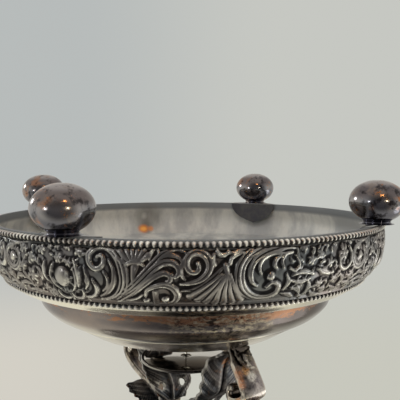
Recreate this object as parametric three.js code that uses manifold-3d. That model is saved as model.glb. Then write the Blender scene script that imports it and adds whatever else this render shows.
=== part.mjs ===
// A plated bride's basket: a footed stand with two scroll brackets, and a
// basket with a swinging handle on top. Millimetres, +Z up, and the origin is
// on the axis at the level that the ball feet stand on.
import * as THREE from 'three';
import { mergeVertices } from 'three/addons/utils/BufferGeometryUtils.js';
import Module from 'manifold-3d';

const wasm = await Module();
wasm.setup();

// Gaps and sheet
const GAP = 0.3;
const SHEET = 1.2;
const ROUND = 56;

// Base: the rim, the relief band above it and the bead wires on both edges
const RIM_R = 80;
const RIM_Z = 16;
const BEAD_R = 1.0;
const UPPER_BEAD = [71.8, 37.5];
const BAND_TOP_Z = 36.1;
const BAND_FLANGE_R = 66;

// Ball feet: flattened balls on short necks, and the plates that hold them
const FOOT_COUNT = 4;
const FOOT_FIRST_ANGLE = -30;
const FOOT_RING_R = 77.7;
const BALL_R = 9.96;
const BALL_HALF_HEIGHT = 7.71;
const BALL_CENTRE_Z = 7.58;
const NECK_R = 5.2;
const TAB_WIDTH = 24;
const TAB_HEIGHT = 10;
const TAB_THICKNESS = 1.4;

// Dome: ledge, wall, shoulder, small step and flat top
const DOME_HOLE_R = 2.6;
const DOME_TOP_Z = 62.3;

// Bridge between the brackets, and the bolt that pulls it to the dome
const DISC_R = 19.2;
const DISC_Z = 76.5;
const DISC_THICKNESS = 2.2;
const DISC_LUG_WIDTH = 8;
const DISC_LUG_R = 23.9;
const BOLT_R = 2.0;
const BOLT_LOW_Z = 53.5;
const WASHER_R = 9;
const WASHER_THICKNESS = 1.2;
const NUT_ACROSS_CORNERS_R = 4.6;
const NUT_HEIGHT = 3.2;

// Scroll brackets
const STRAP_WIDTH = 9;
const STRAP_THICKNESS = 2.2;
const FOOT_PAD_WIDTH = 15;
const LEAF_THICKNESS = 1.5;
const LEAF_HOLE_X = 5.2;
const LEAF_HOLE_Z = 88;
const LEAF_HOLE_R = 1.3;
const INNER_LEAF_WIDTH = 20;
const OUTER_LEAF_WIDTH = 25;

// Stem above the brackets
const COLLAR_R = 12;
const COLLAR_LOW_Z = 98.2;
const COLLAR_HIGH_Z = 107;
const ROD_R = 2.6;
const ROD_LOW_Z = 99.4;
const ROD_TOP_Z = 156.3;
const ROD_NUT_CORNER_R = 5.4;
const ROD_NUT_HEIGHT = 3.6;
const STEM_TOP_Z = 145.6;
const SEAT_R = 26;
const SEAT_TOP_Z = 151.4;

// Basket
const FLOOR_Z = 151.7;
const FLOOR_R = 54;
const BOWL_EDGE = [95.5, 175.2];
const BASKET_RIM_R = 113.4;
const BASKET_RIM_Z = 200;
const BASKET_BEAD_R = 1.1;
const BUTTON_R = 11;
const RECESS_R = 12;
const RECESS_DEPTH = 0.2;

// Handle, its ears and its rivets
const PIVOT_Z = 207;
const EAR_INNER_X = 115.9;
const EAR_THICKNESS = 2.5;
const EAR_WIDTH = 16;
const EYE_R = 6;
const HANDLE_THICKNESS = 2.4;
const HANDLE_WIDTH = 9;
const HANDLE_TOP_Z = 301;
const RIVET_R = 1.7;
const RIVET_CLEARANCE = 0.1;
const RIVET_HEAD_R = 3.4;
const RIVET_HEAD_THICKNESS = 1.3;

const silver = (color, roughness) => new THREE.MeshStandardMaterial({ color, roughness, metalness: 1 });
const materials = {
  foot: silver(0x3d3633, 0.2),
  tab: silver(0x2b2b2c, 0.6),
  relief: silver(0x6f6b66, 0.4),
  bead: silver(0x8d8a84, 0.35),
  dome: silver(0x5c4c45, 0.2),
  bracket: silver(0x6a625b, 0.35),
  leaf: silver(0x56524e, 0.45),
  stem: silver(0x77716a, 0.3),
  basket: silver(0x8a857d, 0.25),
  handle: silver(0x88837b, 0.3),
  fixing: silver(0x9a8660, 0.5),
};

const object = new THREE.Group();
const radians = THREE.MathUtils.degToRad;
const at = (x, y) => new THREE.Vector2(x, y);

// Adds a geometry to the object as a named piece.
function piece(name, geometry, material, parent = object) {
  const mesh = new THREE.Mesh(geometry, material);
  mesh.name = name;
  parent.add(mesh);
  return mesh;
}

// Signed volume, used to keep every face pointing out.
function signedVolume(geometry) {
  const flat = geometry.index ? geometry.toNonIndexed() : geometry;
  const points = flat.getAttribute('position');
  const [a, b, c] = [new THREE.Vector3(), new THREE.Vector3(), new THREE.Vector3()];
  let volume = 0;
  for (let i = 0; i < points.count; i += 3) {
    a.fromBufferAttribute(points, i);
    b.fromBufferAttribute(points, i + 1);
    c.fromBufferAttribute(points, i + 2);
    volume += a.dot(b.cross(c)) / 6;
  }
  return volume;
}

// Only positions are kept, shared points are merged and empty triangles go.
function cleaned(geometry) {
  const bare = geometry.clone();
  bare.deleteAttribute('normal');
  bare.deleteAttribute('uv');
  const merged = mergeVertices(bare, 1e-4);
  const index = merged.index.array;
  const flip = signedVolume(merged) < 0;
  const kept = [];
  for (let i = 0; i < index.length; i += 3) {
    const [a, b, c] = [index[i], index[i + 1], index[i + 2]];
    if (a === b || b === c || a === c) continue;
    kept.push(...(flip ? [a, c, b] : [a, b, c]));
  }
  merged.setIndex(kept);
  return merged;
}

function solid(geometry) {
  const mesh = cleaned(geometry);
  const vertProperties = new Float32Array(mesh.getAttribute('position').array);
  const triVerts = new Uint32Array(mesh.index.array);
  return new wasm.Manifold(new wasm.Mesh({ numProp: 3, vertProperties, triVerts }));
}

function geometryOf(manifold) {
  const mesh = manifold.getMesh();
  const geometry = new THREE.BufferGeometry();
  geometry.setAttribute('position', new THREE.BufferAttribute(mesh.vertProperties, 3));
  geometry.setIndex(new THREE.BufferAttribute(mesh.triVerts, 1));
  return geometry;
}

// A piece turned about the Z axis from an outline of [radius, height] points.
function turned(outline, segments = ROUND) {
  const first = outline[0];
  const last = outline[outline.length - 1];
  const onAxis = first.x === 0 && last.x === 0;
  const closed = onAxis ? outline : [...outline, first];
  const geometry = new THREE.LatheGeometry(closed, segments);
  geometry.rotateX(Math.PI / 2);
  return cleaned(geometry);
}

// Points along a smooth curve through the given places.
function smooth(places, steps) {
  const curve = new THREE.SplineCurve(places.map(([r, z]) => at(r, z)));
  return curve.getSpacedPoints(steps);
}

// The same line moved sideways by a distance, to its left.
function offset(line, distance) {
  return line.map((point, i) => {
    const before = line[Math.max(i - 1, 0)];
    const after = line[Math.min(i + 1, line.length - 1)];
    const along = after.clone().sub(before).normalize();
    return at(point.x - along.y * distance, point.y + along.x * distance);
  });
}

// A sheet of even thickness between a line and its offset, as a closed outline.
function sheetOutline(line, thickness) {
  return [...line, ...offset(line, thickness).reverse()];
}

// A round wire bent into a ring, with a six-sided section.
function wireRing([radius, height], wireR) {
  return turned(circle([radius, height], wireR, 6));
}

const extruded = (shape, depth) => new THREE.ExtrudeGeometry(shape, { depth, bevelEnabled: false });

// An outline in the plane of a bracket, made solid across its width. The
// outline's first number is the distance from the axis towards -Y.
function acrossBracket(outline, width) {
  const geometry = extruded(new THREE.Shape(outline), width);
  geometry.translate(0, 0, -width / 2);
  geometry.rotateX(Math.PI / 2);
  geometry.rotateZ(-Math.PI / 2);
  return cleaned(geometry);
}

// A prism along Y whose outline is seen from the front, as [x, z].
function alongY(outline, length) {
  const geometry = extruded(new THREE.Shape(outline), length);
  geometry.translate(0, 0, -length / 2);
  geometry.rotateX(Math.PI / 2);
  return cleaned(geometry);
}

// A prism along X whose outline is seen from the side, as [y, z].
function alongX(outline, length) {
  const geometry = extruded(new THREE.Shape(outline), length);
  geometry.translate(0, 0, -length / 2);
  geometry.rotateX(Math.PI / 2);
  geometry.rotateZ(Math.PI / 2);
  return cleaned(geometry);
}

function cylinderAlongX(radius, fromX, toX, y, z, sides = 24) {
  const geometry = new THREE.CylinderGeometry(radius, radius, toX - fromX, sides);
  geometry.rotateZ(Math.PI / 2);
  geometry.translate((fromX + toX) / 2, y, z);
  return geometry;
}

function circle(centre, radius, sides, from = 0, to = 360) {
  const full = to - from === 360;
  const count = full ? sides : sides + 1;
  const points = [];
  for (let k = 0; k < count; k += 1) {
    const angle = radians(from + ((to - from) * k) / sides);
    points.push(at(centre[0] + radius * Math.cos(angle), centre[1] + radius * Math.sin(angle)));
  }
  return points;
}

// Ball foot: a flattened ball with a worn flat under it and a short neck.
function ballFoot() {
  const flatAngle = -Math.asin(BALL_CENTRE_Z / BALL_HALF_HEIGHT);
  const neckAngle = Math.acos(NECK_R / BALL_R);
  const outline = [at(0, 0)];
  const steps = 8;
  for (let k = 0; k <= steps; k += 1) {
    const angle = flatAngle + ((neckAngle - flatAngle) * k) / steps;
    outline.push(at(BALL_R * Math.cos(angle), BALL_CENTRE_Z + BALL_HALF_HEIGHT * Math.sin(angle)));
  }
  outline[1].y = 0;
  outline.push(at(NECK_R, RIM_Z - GAP), at(0, RIM_Z - GAP));
  return turned(outline, 20);
}

// Foot plate: a pointed shield bent to the inside of the rim.
function footTab() {
  const half = TAB_WIDTH / 2;
  const shield = [
    at(-half, RIM_Z),
    at(half, RIM_Z),
    at(half * 0.93, RIM_Z + TAB_HEIGHT * 0.34),
    at(half * 0.66, RIM_Z + TAB_HEIGHT * 0.68),
    at(half * 0.3, RIM_Z + TAB_HEIGHT * 0.87),
    at(0, RIM_Z + TAB_HEIGHT),
    at(-half * 0.3, RIM_Z + TAB_HEIGHT * 0.87),
    at(-half * 0.66, RIM_Z + TAB_HEIGHT * 0.68),
    at(-half * 0.93, RIM_Z + TAB_HEIGHT * 0.34),
  ];
  const outer = RIM_R - 2 * BEAD_R - SHEET - 2 * GAP;
  const shell = turned([
    at(outer - TAB_THICKNESS, RIM_Z - 1),
    at(outer, RIM_Z - 1),
    at(outer, RIM_Z + TAB_HEIGHT + 1),
    at(outer - TAB_THICKNESS, RIM_Z + TAB_HEIGHT + 1),
  ]);
  const prism = alongX(shield, 20);
  prism.translate(outer, 0, 0);
  return geometryOf(solid(shell).intersect(solid(prism)));
}

// Relief band: a bulging sheet ring with a flange turned in at the top.
function baseBorder() {
  const behindBead = RIM_R - 2 * BEAD_R - GAP;
  const face = smooth([[79.3, 19], [79.5, 24.5], [78.6, 29], [76.4, 33], [73.6, BAND_TOP_Z]], 6);
  const foot = [at(behindBead, RIM_Z), at(behindBead, RIM_Z + 2.5)];
  const outside = [...foot, ...face, at(BAND_FLANGE_R, BAND_TOP_Z)];
  const inside = [
    at(BAND_FLANGE_R, BAND_TOP_Z - SHEET),
    at(73, BAND_TOP_Z - SHEET - 0.2),
    ...offset(face, SHEET).reverse().slice(1, -1),
    at(behindBead - SHEET, RIM_Z + 3.2),
    at(behindBead - SHEET, RIM_Z),
  ];
  return turned([...outside, ...inside]);
}

// Dome: the sloping skirt inside the upper bead, the ledge, the wall that
// rolls over into the shoulder, the small step and the flat top.
const skirt = [[70.4, 37.6], [70.3, 38.7], [68.5, 40.6], [67.3, 41]];
const wall = [[62.4, 41], [60.3, 42.4], [59.5, 45], [58.4, 48.6], [55.8, 51.8], [52.2, 54.4], [47, 57.2]];
const step = [[46.4, 58.2], [44.8, 58.9], [40.2, 61.2], [37, DOME_TOP_Z]];

function baseDome() {
  const outside = [...skirt, ...wall, ...step].map(([r, z]) => at(r, z));
  outside.push(at(DOME_HOLE_R, DOME_TOP_Z));
  const inside = [
    [DOME_HOLE_R, DOME_TOP_Z - SHEET], [36.6, DOME_TOP_Z - SHEET], [46.2, 56.2], [51.6, 53.3], [54.9, 50.9],
    [57.2, 48.1], [59.2, 41.6], [61.4, 39.8], [67.1, 39.8], [69.1, 37.8], [69.1, 36.4], [70.4, 36.4],
  ];
  return turned([...outside, ...inside.map(([r, z]) => at(r, z))]);
}

// Bridge disc: a polished plate with a lug towards each bracket's leaf.
function bridgeDisc() {
  const low = DISC_Z;
  const high = DISC_Z + DISC_THICKNESS;
  const plate = turned([
    at(BOLT_R + GAP, low), at(DISC_R - 0.5, low), at(DISC_R, low + 0.5),
    at(DISC_R, high - 0.5), at(DISC_R - 0.5, high), at(BOLT_R + GAP, high),
  ], 40);
  let body = solid(plate);
  for (const side of [-1, 1]) {
    const lug = new THREE.BoxGeometry(DISC_LUG_WIDTH, DISC_LUG_R - 15, DISC_THICKNESS);
    lug.translate(0, (side * (15 + DISC_LUG_R)) / 2, DISC_Z + DISC_THICKNESS / 2);
    body = body.add(solid(lug));
  }
  return geometryOf(body);
}

function centreBolt() {
  const head = DISC_Z + DISC_THICKNESS + GAP;
  const outline = [
    at(0, BOLT_LOW_Z), at(BOLT_R - 0.3, BOLT_LOW_Z), at(BOLT_R, BOLT_LOW_Z + 0.4), at(BOLT_R, head),
    at(4.2, head), at(4.2, head + 0.8), at(3, head + 1.8), at(0, head + 2.2),
  ];
  return turned(outline, 20);
}

function washer(high) {
  const low = high - WASHER_THICKNESS;
  const hole = BOLT_R + GAP;
  return turned([at(hole, low), at(WASHER_R, low), at(WASHER_R, high), at(hole, high)], 24);
}

// A six-sided nut with a round hole.
function hexNut(cornerR, holeR, low, height) {
  const shape = new THREE.Shape(circle([0, 0], cornerR, 6));
  shape.holes.push(new THREE.Path(circle([0, 0], holeR, 16)));
  const geometry = extruded(shape, height);
  geometry.translate(0, 0, low);
  return cleaned(geometry);
}

// Centre lines of one bracket's scrolls, as [distance from axis, height].
const footScroll = [
  [41.2, 63], [44.6, 66.4], [46, 71.8], [44.9, 76.8], [41.4, 79.1], [37.9, 77.9], [36.9, 74.8], [38.6, 73],
];
const stemScroll = [
  [COLLAR_R + GAP, 102], [22, 101.4], [30, 100.1], [39, 97.2], [46, 91.8], [49.2, 86.2], [47.2, 81],
  [43.4, 79.9], [41.2, 82.4], [42.8, 84.8],
];
const footLine = smooth(footScroll, 20);
const stemLine = smooth(stemScroll, 26);
const innerLeafLine = [[36, 66.6], [30, 69.6], [26.6, 75.6], [24, 83], [20.4, 90.6], [15.4, 97.6]];

function strapOutline(line) {
  return sheetOutline(offset(line, -STRAP_THICKNESS / 2), STRAP_THICKNESS);
}

// Scroll bracket: a pad on the dome's step, a curled foot scroll on it and
// the long scroll that rises to the stem.
function scrollBracket() {
  const pad = [
    at(43.6, 60.3), at(39.4, 62.4), at(37, DOME_TOP_Z + GAP), at(28, DOME_TOP_Z + GAP), at(28.6, 64.4),
    at(33, 65.6), at(40.6, 65.4), at(43.4, 63.6), at(44.4, 61.4),
  ];
  let body = solid(acrossBracket(pad, FOOT_PAD_WIDTH));
  body = body.add(solid(acrossBracket(strapOutline(footLine), STRAP_WIDTH)));
  body = body.add(solid(acrossBracket(strapOutline(stemLine), STRAP_WIDTH)));
  return geometryOf(body);
}

// The outline of an acanthus leaf along its length, with lobed edges. Widths
// swell from the stalk to the middle and close at the tip.
function leafEdge(fromZ, toZ, width, lobes) {
  const side = [];
  const steps = lobes * 3;
  for (let k = 0; k <= steps; k += 1) {
    const t = k / steps;
    const swell = Math.pow(Math.sin(Math.PI * (0.12 + 0.8 * t)), 0.6);
    const lobe = 1 - 0.16 * Math.abs(Math.cos(Math.PI * lobes * t));
    side.push(at((width / 2) * swell * lobe, fromZ + (toZ - fromZ) * t));
  }
  const other = side.map((p) => at(-p.x, p.y)).reverse();
  return [...side, ...other];
}

// Inner leaf: it rises from the pad, leans in behind the bridge disc's lug
// and ends under the stem's collar. Two holes are pierced in it.
function innerLeaf() {
  const line = offset(smooth(innerLeafLine, 10), -LEAF_THICKNESS / 2);
  const sheet = solid(acrossBracket(sheetOutline(line, LEAF_THICKNESS), INNER_LEAF_WIDTH));
  const edge = alongY(leafEdge(65, 99, INNER_LEAF_WIDTH, 5), 60);
  edge.translate(0, -30, 0);
  let leaf = sheet.intersect(solid(edge));
  for (const side of [-1, 1]) {
    const hole = alongY(circle([side * LEAF_HOLE_X, LEAF_HOLE_Z], LEAF_HOLE_R, 10), 60);
    hole.translate(0, -30, 0);
    leaf = leaf.subtract(solid(hole));
  }
  return geometryOf(leaf);
}

// Outer leaf: it lies on the long scroll's back and flicks out at its tip.
function outerLeaf() {
  const back = STRAP_THICKNESS / 2 + GAP;
  const along = offset(stemLine, back).filter((point, i) => point.x > 15.5 && i < 18);
  const tip = along[along.length - 1];
  const line = [...along, at(tip.x + 1.3, tip.y - 2), at(tip.x + 3.8, tip.y - 3.4)];
  const sheet = solid(acrossBracket(sheetOutline(line, LEAF_THICKNESS), OUTER_LEAF_WIDTH));
  const plan = new THREE.Shape(leafEdge(-57, -14, OUTER_LEAF_WIDTH, 6));
  const edge = extruded(plan, 60);
  edge.translate(0, 0, 60);
  return geometryOf(sheet.intersect(solid(edge)));
}

// Stem: a collar that the long scrolls end on, and a baluster over it.
function stemCollar() {
  const hole = ROD_R + GAP;
  const recess = 6.4;
  return turned([
    at(recess, COLLAR_LOW_Z), at(10.6, COLLAR_LOW_Z), at(COLLAR_R, 99.6), at(COLLAR_R, 104.4),
    at(10.4, 105.8), at(9, COLLAR_HIGH_Z), at(hole, COLLAR_HIGH_Z), at(hole, 103.6), at(recess, 103.6),
  ], 28);
}

const BALUSTER_END_R = 8.6;
const balusterFace = [
  [6.2, 111.5], [10.8, 117.4], [12.4, 121.6], [9.6, 127], [5.8, 133.5], [5.6, 139], [8.4, 143.6],
];

function stemBaluster() {
  const low = COLLAR_HIGH_Z + GAP;
  const hole = ROD_R + GAP;
  const face = smooth([[BALUSTER_END_R, low + 1.6], ...balusterFace], 11);
  const foot = [at(hole, low), at(BALUSTER_END_R, low)];
  return turned([...foot, ...face, at(BALUSTER_END_R, STEM_TOP_Z), at(hole, STEM_TOP_Z)], 24);
}

function basketSeat() {
  const low = STEM_TOP_Z + GAP;
  const hole = ROD_R + GAP;
  return turned([
    at(hole, low), at(9.4, low), at(11, low + 1.4), at(16, low + 2.4), at(24, low + 3.6),
    at(SEAT_R, SEAT_TOP_Z - 0.6), at(SEAT_R, SEAT_TOP_Z), at(hole, SEAT_TOP_Z),
  ], 40);
}

function stemRod() {
  return turned([at(0, ROD_LOW_Z), at(ROD_R, ROD_LOW_Z), at(ROD_R, ROD_TOP_Z), at(0, ROD_TOP_Z)], 20);
}

// Button: the domed nut inside the basket, on the end of the rod. It lies in
// a shallow recess, so nothing overhangs the flat ring of the floor.
function basketButton() {
  const low = FLOOR_Z + SHEET - RECESS_DEPTH + GAP;
  const hole = ROD_R + GAP;
  const inner = ROD_TOP_Z + GAP;
  return turned([
    at(hole, low), at(BUTTON_R, low), at(BUTTON_R, low + 0.9), at(8.6, low + 2.6), at(5.2, low + 4.6),
    at(2.4, low + 5.6), at(0, low + 5.9), at(0, inner), at(hole, inner),
  ], 32);
}

// Bowl of the basket: a flat floor that rolls up into a shallow wall.
function basketBowl() {
  const hole = ROD_R + GAP;
  const face = smooth([[FLOOR_R, FLOOR_Z], [72, 153.6], [84, 159], [91.6, 166.6], BOWL_EDGE], 7);
  const inside = offset(face, SHEET).reverse();
  const top = FLOOR_Z + SHEET;
  const recess = [at(RECESS_R, top), at(RECESS_R, top - RECESS_DEPTH), at(hole, top - RECESS_DEPTH)];
  return turned([at(hole, FLOOR_Z), ...face, ...inside.slice(0, -1), at(FLOOR_R, top), ...recess]);
}

// Basket border: it laps the bowl's edge and flares to the upright rim.
const basketFace = [
  [97.2, 173.4], [100.6, 178.6], [106.6, 184.4], [111, 190.8], [BASKET_RIM_R - 0.6, BASKET_RIM_Z],
];

function basketBorder() {
  const face = smooth(basketFace, 7);
  return turned(sheetOutline(face, SHEET));
}

// Ear: a lug soldered outside the border, rising past the rim to the eye.
function handleEar() {
  const [low, high] = [183.5, 196.6];
  const face = offset(smooth(basketFace, 12), -GAP - 0.15);
  const clear = face.filter((point) => point.y > low && point.y < high);
  const outer = EAR_INNER_X + EAR_THICKNESS;
  const top = PIVOT_Z + EYE_R + 1;
  const outline = [
    ...clear, at(EAR_INNER_X, 197.6), at(EAR_INNER_X, top), at(outer, top), at(outer, 195),
    at(115.4, 189.4), at(clear[0].x + 2.2, clear[0].y),
  ];
  const side = solid(alongY(outline, EAR_WIDTH));
  const half = EAR_WIDTH / 2;
  const lug = [
    at(0, 183), at(half * 0.55, 186), at(half, 192), at(half * 0.86, 198),
    at(EYE_R * 0.8, 201.6), at(EYE_R, PIVOT_Z - 1),
    ...circle([0, PIVOT_Z], EYE_R, 10, 0, 180),
    at(-EYE_R, PIVOT_Z - 1), at(-EYE_R * 0.8, 201.6),
    at(-half * 0.86, 198), at(-half, 192), at(-half * 0.55, 186),
  ];
  const front = alongX(lug, 40);
  front.translate(EAR_INNER_X, 0, 0);
  const bore = cylinderAlongX(RIVET_R + RIVET_CLEARANCE, 100, 130, 0, PIVOT_Z);
  return geometryOf(side.intersect(solid(front)).subtract(solid(bore)));
}

// Rivet: a pin with a flat head inside the ear and a domed one outside.
function handleRivet() {
  const innerHead = EAR_INNER_X - GAP;
  const outerHead = EAR_INNER_X + EAR_THICKNESS + GAP + HANDLE_THICKNESS + GAP;
  const start = innerHead - RIVET_HEAD_THICKNESS;
  const outline = [
    at(0, start), at(RIVET_HEAD_R, start), at(RIVET_HEAD_R, innerHead),
    at(RIVET_R, innerHead), at(RIVET_R, outerHead), at(RIVET_HEAD_R, outerHead),
    at(RIVET_HEAD_R * 0.9, outerHead + 0.7), at(RIVET_HEAD_R * 0.5, outerHead + RIVET_HEAD_THICKNESS),
    at(0, outerHead + 1.5),
  ];
  const geometry = turned(outline, 24);
  geometry.rotateY(Math.PI / 2);
  return geometry;
}

// Bail handle: a strap bent into a tall arch with a round eye at each end.
function bailHandle() {
  const eyeX = EAR_INNER_X + EAR_THICKNESS + GAP;
  const steps = 40;
  const arch = (reach, top) => {
    const points = [];
    for (let k = 0; k <= steps; k += 1) {
      const angle = (Math.PI * k) / steps;
      points.push(at(reach * Math.cos(angle), PIVOT_Z + (top - PIVOT_Z) * Math.sin(angle)));
    }
    return points;
  };
  const outer = arch(eyeX + HANDLE_THICKNESS, HANDLE_TOP_Z);
  const inner = arch(eyeX, HANDLE_TOP_Z - HANDLE_THICKNESS).reverse();
  let handle = solid(alongY([...outer, ...inner], HANDLE_WIDTH));
  for (const side of [-1, 1]) {
    const from = side > 0 ? eyeX : -eyeX - HANDLE_THICKNESS;
    handle = handle.add(solid(cylinderAlongX(EYE_R, from, from + HANDLE_THICKNESS, 0, PIVOT_Z)));
    const bore = cylinderAlongX(RIVET_R + RIVET_CLEARANCE, from - 5, from + 10, 0, PIVOT_Z);
    handle = handle.subtract(solid(bore));
  }
  return geometryOf(handle);
}

// Feet, each with the plate that holds it
const footShape = ballFoot();
const tabShape = footTab();
for (let k = 0; k < FOOT_COUNT; k += 1) {
  const angle = radians(FOOT_FIRST_ANGLE + (360 / FOOT_COUNT) * k);
  const corner = new THREE.Group();
  corner.rotation.z = angle;
  object.add(corner);
  piece(`ball_foot_${k + 1}`, footShape, materials.foot, corner).position.x = FOOT_RING_R;
  piece(`foot_tab_${k + 1}`, tabShape, materials.tab, corner);
}

// Base
piece('base_border', baseBorder(), materials.relief);
piece('lower_bead_wire', wireRing([RIM_R - BEAD_R, RIM_Z + BEAD_R + 0.15], BEAD_R), materials.bead);
piece('upper_bead_wire', wireRing(UPPER_BEAD, BEAD_R), materials.bead);
piece('base_dome', baseDome(), materials.dome);

// Bridge and its bolt
const washerTop = DOME_TOP_Z - SHEET - GAP;
const nutTop = washerTop - WASHER_THICKNESS - GAP;
piece('bridge_disc', bridgeDisc(), materials.dome);
piece('centre_bolt', centreBolt(), materials.fixing);
piece('bolt_washer', washer(washerTop), materials.fixing);
const boltNut = hexNut(NUT_ACROSS_CORNERS_R, BOLT_R + GAP, nutTop - NUT_HEIGHT, NUT_HEIGHT);
piece('bolt_nut', boltNut, materials.fixing);

// Two brackets, half a turn apart
const bracketShape = scrollBracket();
const innerLeafShape = innerLeaf();
const outerLeafShape = outerLeaf();
for (const [side, turn] of [['front', 0], ['back', Math.PI]]) {
  const arm = new THREE.Group();
  arm.rotation.z = turn;
  object.add(arm);
  piece(`scroll_bracket_${side}`, bracketShape, materials.bracket, arm);
  piece(`inner_leaf_${side}`, innerLeafShape, materials.leaf, arm);
  piece(`outer_leaf_${side}`, outerLeafShape, materials.leaf, arm);
}

// Stem
piece('stem_collar', stemCollar(), materials.stem);
piece('stem_baluster', stemBaluster(), materials.stem);
piece('basket_seat', basketSeat(), materials.stem);
piece('stem_rod', stemRod(), materials.fixing);
const rodNut = hexNut(ROD_NUT_CORNER_R, ROD_R + GAP, ROD_LOW_Z + 0.2, ROD_NUT_HEIGHT);
piece('rod_nut', rodNut, materials.fixing);
piece('basket_button', basketButton(), materials.stem);

// Basket
piece('basket_bowl', basketBowl(), materials.basket);
piece('basket_border', basketBorder(), materials.relief);
piece('basket_foot_bead', wireRing([99.9, 175.2], BASKET_BEAD_R), materials.bead);
const rimBead = [BASKET_RIM_R + BASKET_BEAD_R + 0.1, BASKET_RIM_Z - 1.2];
piece('basket_rim_bead', wireRing(rimBead, BASKET_BEAD_R), materials.bead);

// Ears, rivets and handle
const earShape = handleEar();
const rivetShape = handleRivet();
for (const [side, turn] of [['right', 0], ['left', Math.PI]]) {
  const end = new THREE.Group();
  end.rotation.z = turn;
  object.add(end);
  piece(`handle_ear_${side}`, earShape, materials.basket, end);
  piece(`handle_rivet_${side}`, rivetShape, materials.fixing, end).position.z = PIVOT_Z;
}
piece('bail_handle', bailHandle(), materials.handle);

export default object;
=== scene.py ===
# %% [markdown]
# # A plated bride's basket
# The object is a footed stand of tarnished silver plate with a basket and a
# swinging handle on top. The photograph shows the stand upside down and close
# up, so the relief border, the ball feet and the dome get the most work. This
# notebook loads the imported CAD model, dresses it with finer pieces and gives
# every surface a procedural finish.

# %% Load the frame
import math

import bmesh
import bpy
import numpy as np
from mathutils import Matrix, Vector


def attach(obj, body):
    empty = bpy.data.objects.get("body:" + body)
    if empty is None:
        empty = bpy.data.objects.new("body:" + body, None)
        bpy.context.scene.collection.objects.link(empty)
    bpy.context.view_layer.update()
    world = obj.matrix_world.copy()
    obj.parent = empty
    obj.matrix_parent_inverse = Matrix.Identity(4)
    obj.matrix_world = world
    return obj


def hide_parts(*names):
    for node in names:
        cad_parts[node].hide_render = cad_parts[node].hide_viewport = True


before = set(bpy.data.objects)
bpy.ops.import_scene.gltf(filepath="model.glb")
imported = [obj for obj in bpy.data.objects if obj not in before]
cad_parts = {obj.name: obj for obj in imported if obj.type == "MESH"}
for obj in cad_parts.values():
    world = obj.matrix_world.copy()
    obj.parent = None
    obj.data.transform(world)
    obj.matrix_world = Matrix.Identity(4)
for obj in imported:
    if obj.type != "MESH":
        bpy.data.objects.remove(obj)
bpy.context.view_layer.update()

# %% [markdown]
# ## Sizes
# Every size is in millimetres and is the size of the real part. They are the
# driving dimensions of the CAD source, but for the upper beads, which stand
# half a millimetre further out and lower here, where the photograph has them.
# Pieces are modelled in millimetres too and scaled to metres when they are
# finished, because whole numbers are easier to read than thousandths.

# %% Driving dimensions
MM = 0.001
RIM_Z = 16.0
SHEET = 1.2
GAP = 0.3
BAND_TOP_Z = 36.1
BAND_FLANGE_R = 66.0
BAND_FACE = [(79.3, 19.0), (79.5, 24.5), (78.6, 29.0), (76.4, 33.0), (73.6, BAND_TOP_Z)]
LOWER_BEAD = (79.0, 17.15)
UPPER_BEAD = (72.3, 37.05)
BEAD_R = 1.0
BEAD_PITCH = 1.9
FOOT_ANGLES = (-30.0, 60.0, 150.0, 240.0)
FOOT_RING_R = 77.7
BALL_R = 9.96
BALL_HALF_HEIGHT = 7.71
BALL_CENTRE_Z = 7.58
NECK_R = 5.2
TAB_WIDTH = 24.0
TAB_HEIGHT = 10.0
TAB_OUTER_R = 76.2
TAB_THICKNESS = 1.4
DOME_TOP_Z = 62.3
DOME_HOLE_R = 2.6
DISC_R = 19.2
DISC_Z = 76.5
STRAP_WIDTH = 9.0
STRAP_THICKNESS = 2.2
FLOOR_Z = 151.7
BASKET_FACE = [(97.2, 173.4), (100.6, 178.6), (106.6, 184.4), (111.0, 190.8), (112.8, 200.0)]
BASKET_FOOT_BEAD = (99.9, 175.2)
BASKET_RIM_BEAD = (114.6, 198.8)
BASKET_BEAD_R = 1.1
BASKET_BEAD_PITCH = 2.1
PIVOT_Z = 207.0
EAR_INNER_X = 115.9
EAR_THICKNESS = 2.5
HANDLE_TOP_Z = 301.0
HANDLE_THICKNESS = 2.4
HANDLE_WIDTH = 9.0
EYE_R = 6.0

# %% [markdown]
# ## Camera
# A pinhole camera was fitted to the photograph. It stands just below the level
# of the feet, so it sees into the hollow base, and it is rolled half a turn,
# because the real stand lay on its head. Its three axes are written as they
# were fitted.

# %% Camera
CAMERA_PLACE = Vector((126.471, -205.576, -6.443)) * MM
CAMERA_RIGHT = Vector((-0.83904, -0.54406, -0.00267))
CAMERA_DOWN = Vector((0.03392, -0.05720, 0.99779))
CAMERA_AHEAD = Vector((-0.54300, 0.83710, 0.06645))
CAMERA_LENS = 51.926

scene = bpy.context.scene
scene.view_settings.view_transform = "Standard"
camera_data = bpy.data.cameras.new("photo_camera")
camera_data.sensor_width = 36.0
camera_data.lens = CAMERA_LENS
camera_data.clip_start = 0.01
camera_data.clip_end = 50.0
camera = bpy.data.objects.new("photo_camera", camera_data)
scene.collection.objects.link(camera)
axes = Matrix((CAMERA_RIGHT, -CAMERA_DOWN, -CAMERA_AHEAD)).transposed()
camera.matrix_world = Matrix.Translation(CAMERA_PLACE) @ axes.to_4x4()
scene.camera = camera
print("camera distance from the axis in mm:", round(CAMERA_PLACE.xy.length / MM, 1))

# %% [markdown]
# ## Shader maths
# A material is a graph of nodes. Written out node by node it is long and hard
# to read, so one small class wraps a socket and lets sums be written as sums,
# and one method adds any other node from its settings and inputs.

# %% Sockets that add up


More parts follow.
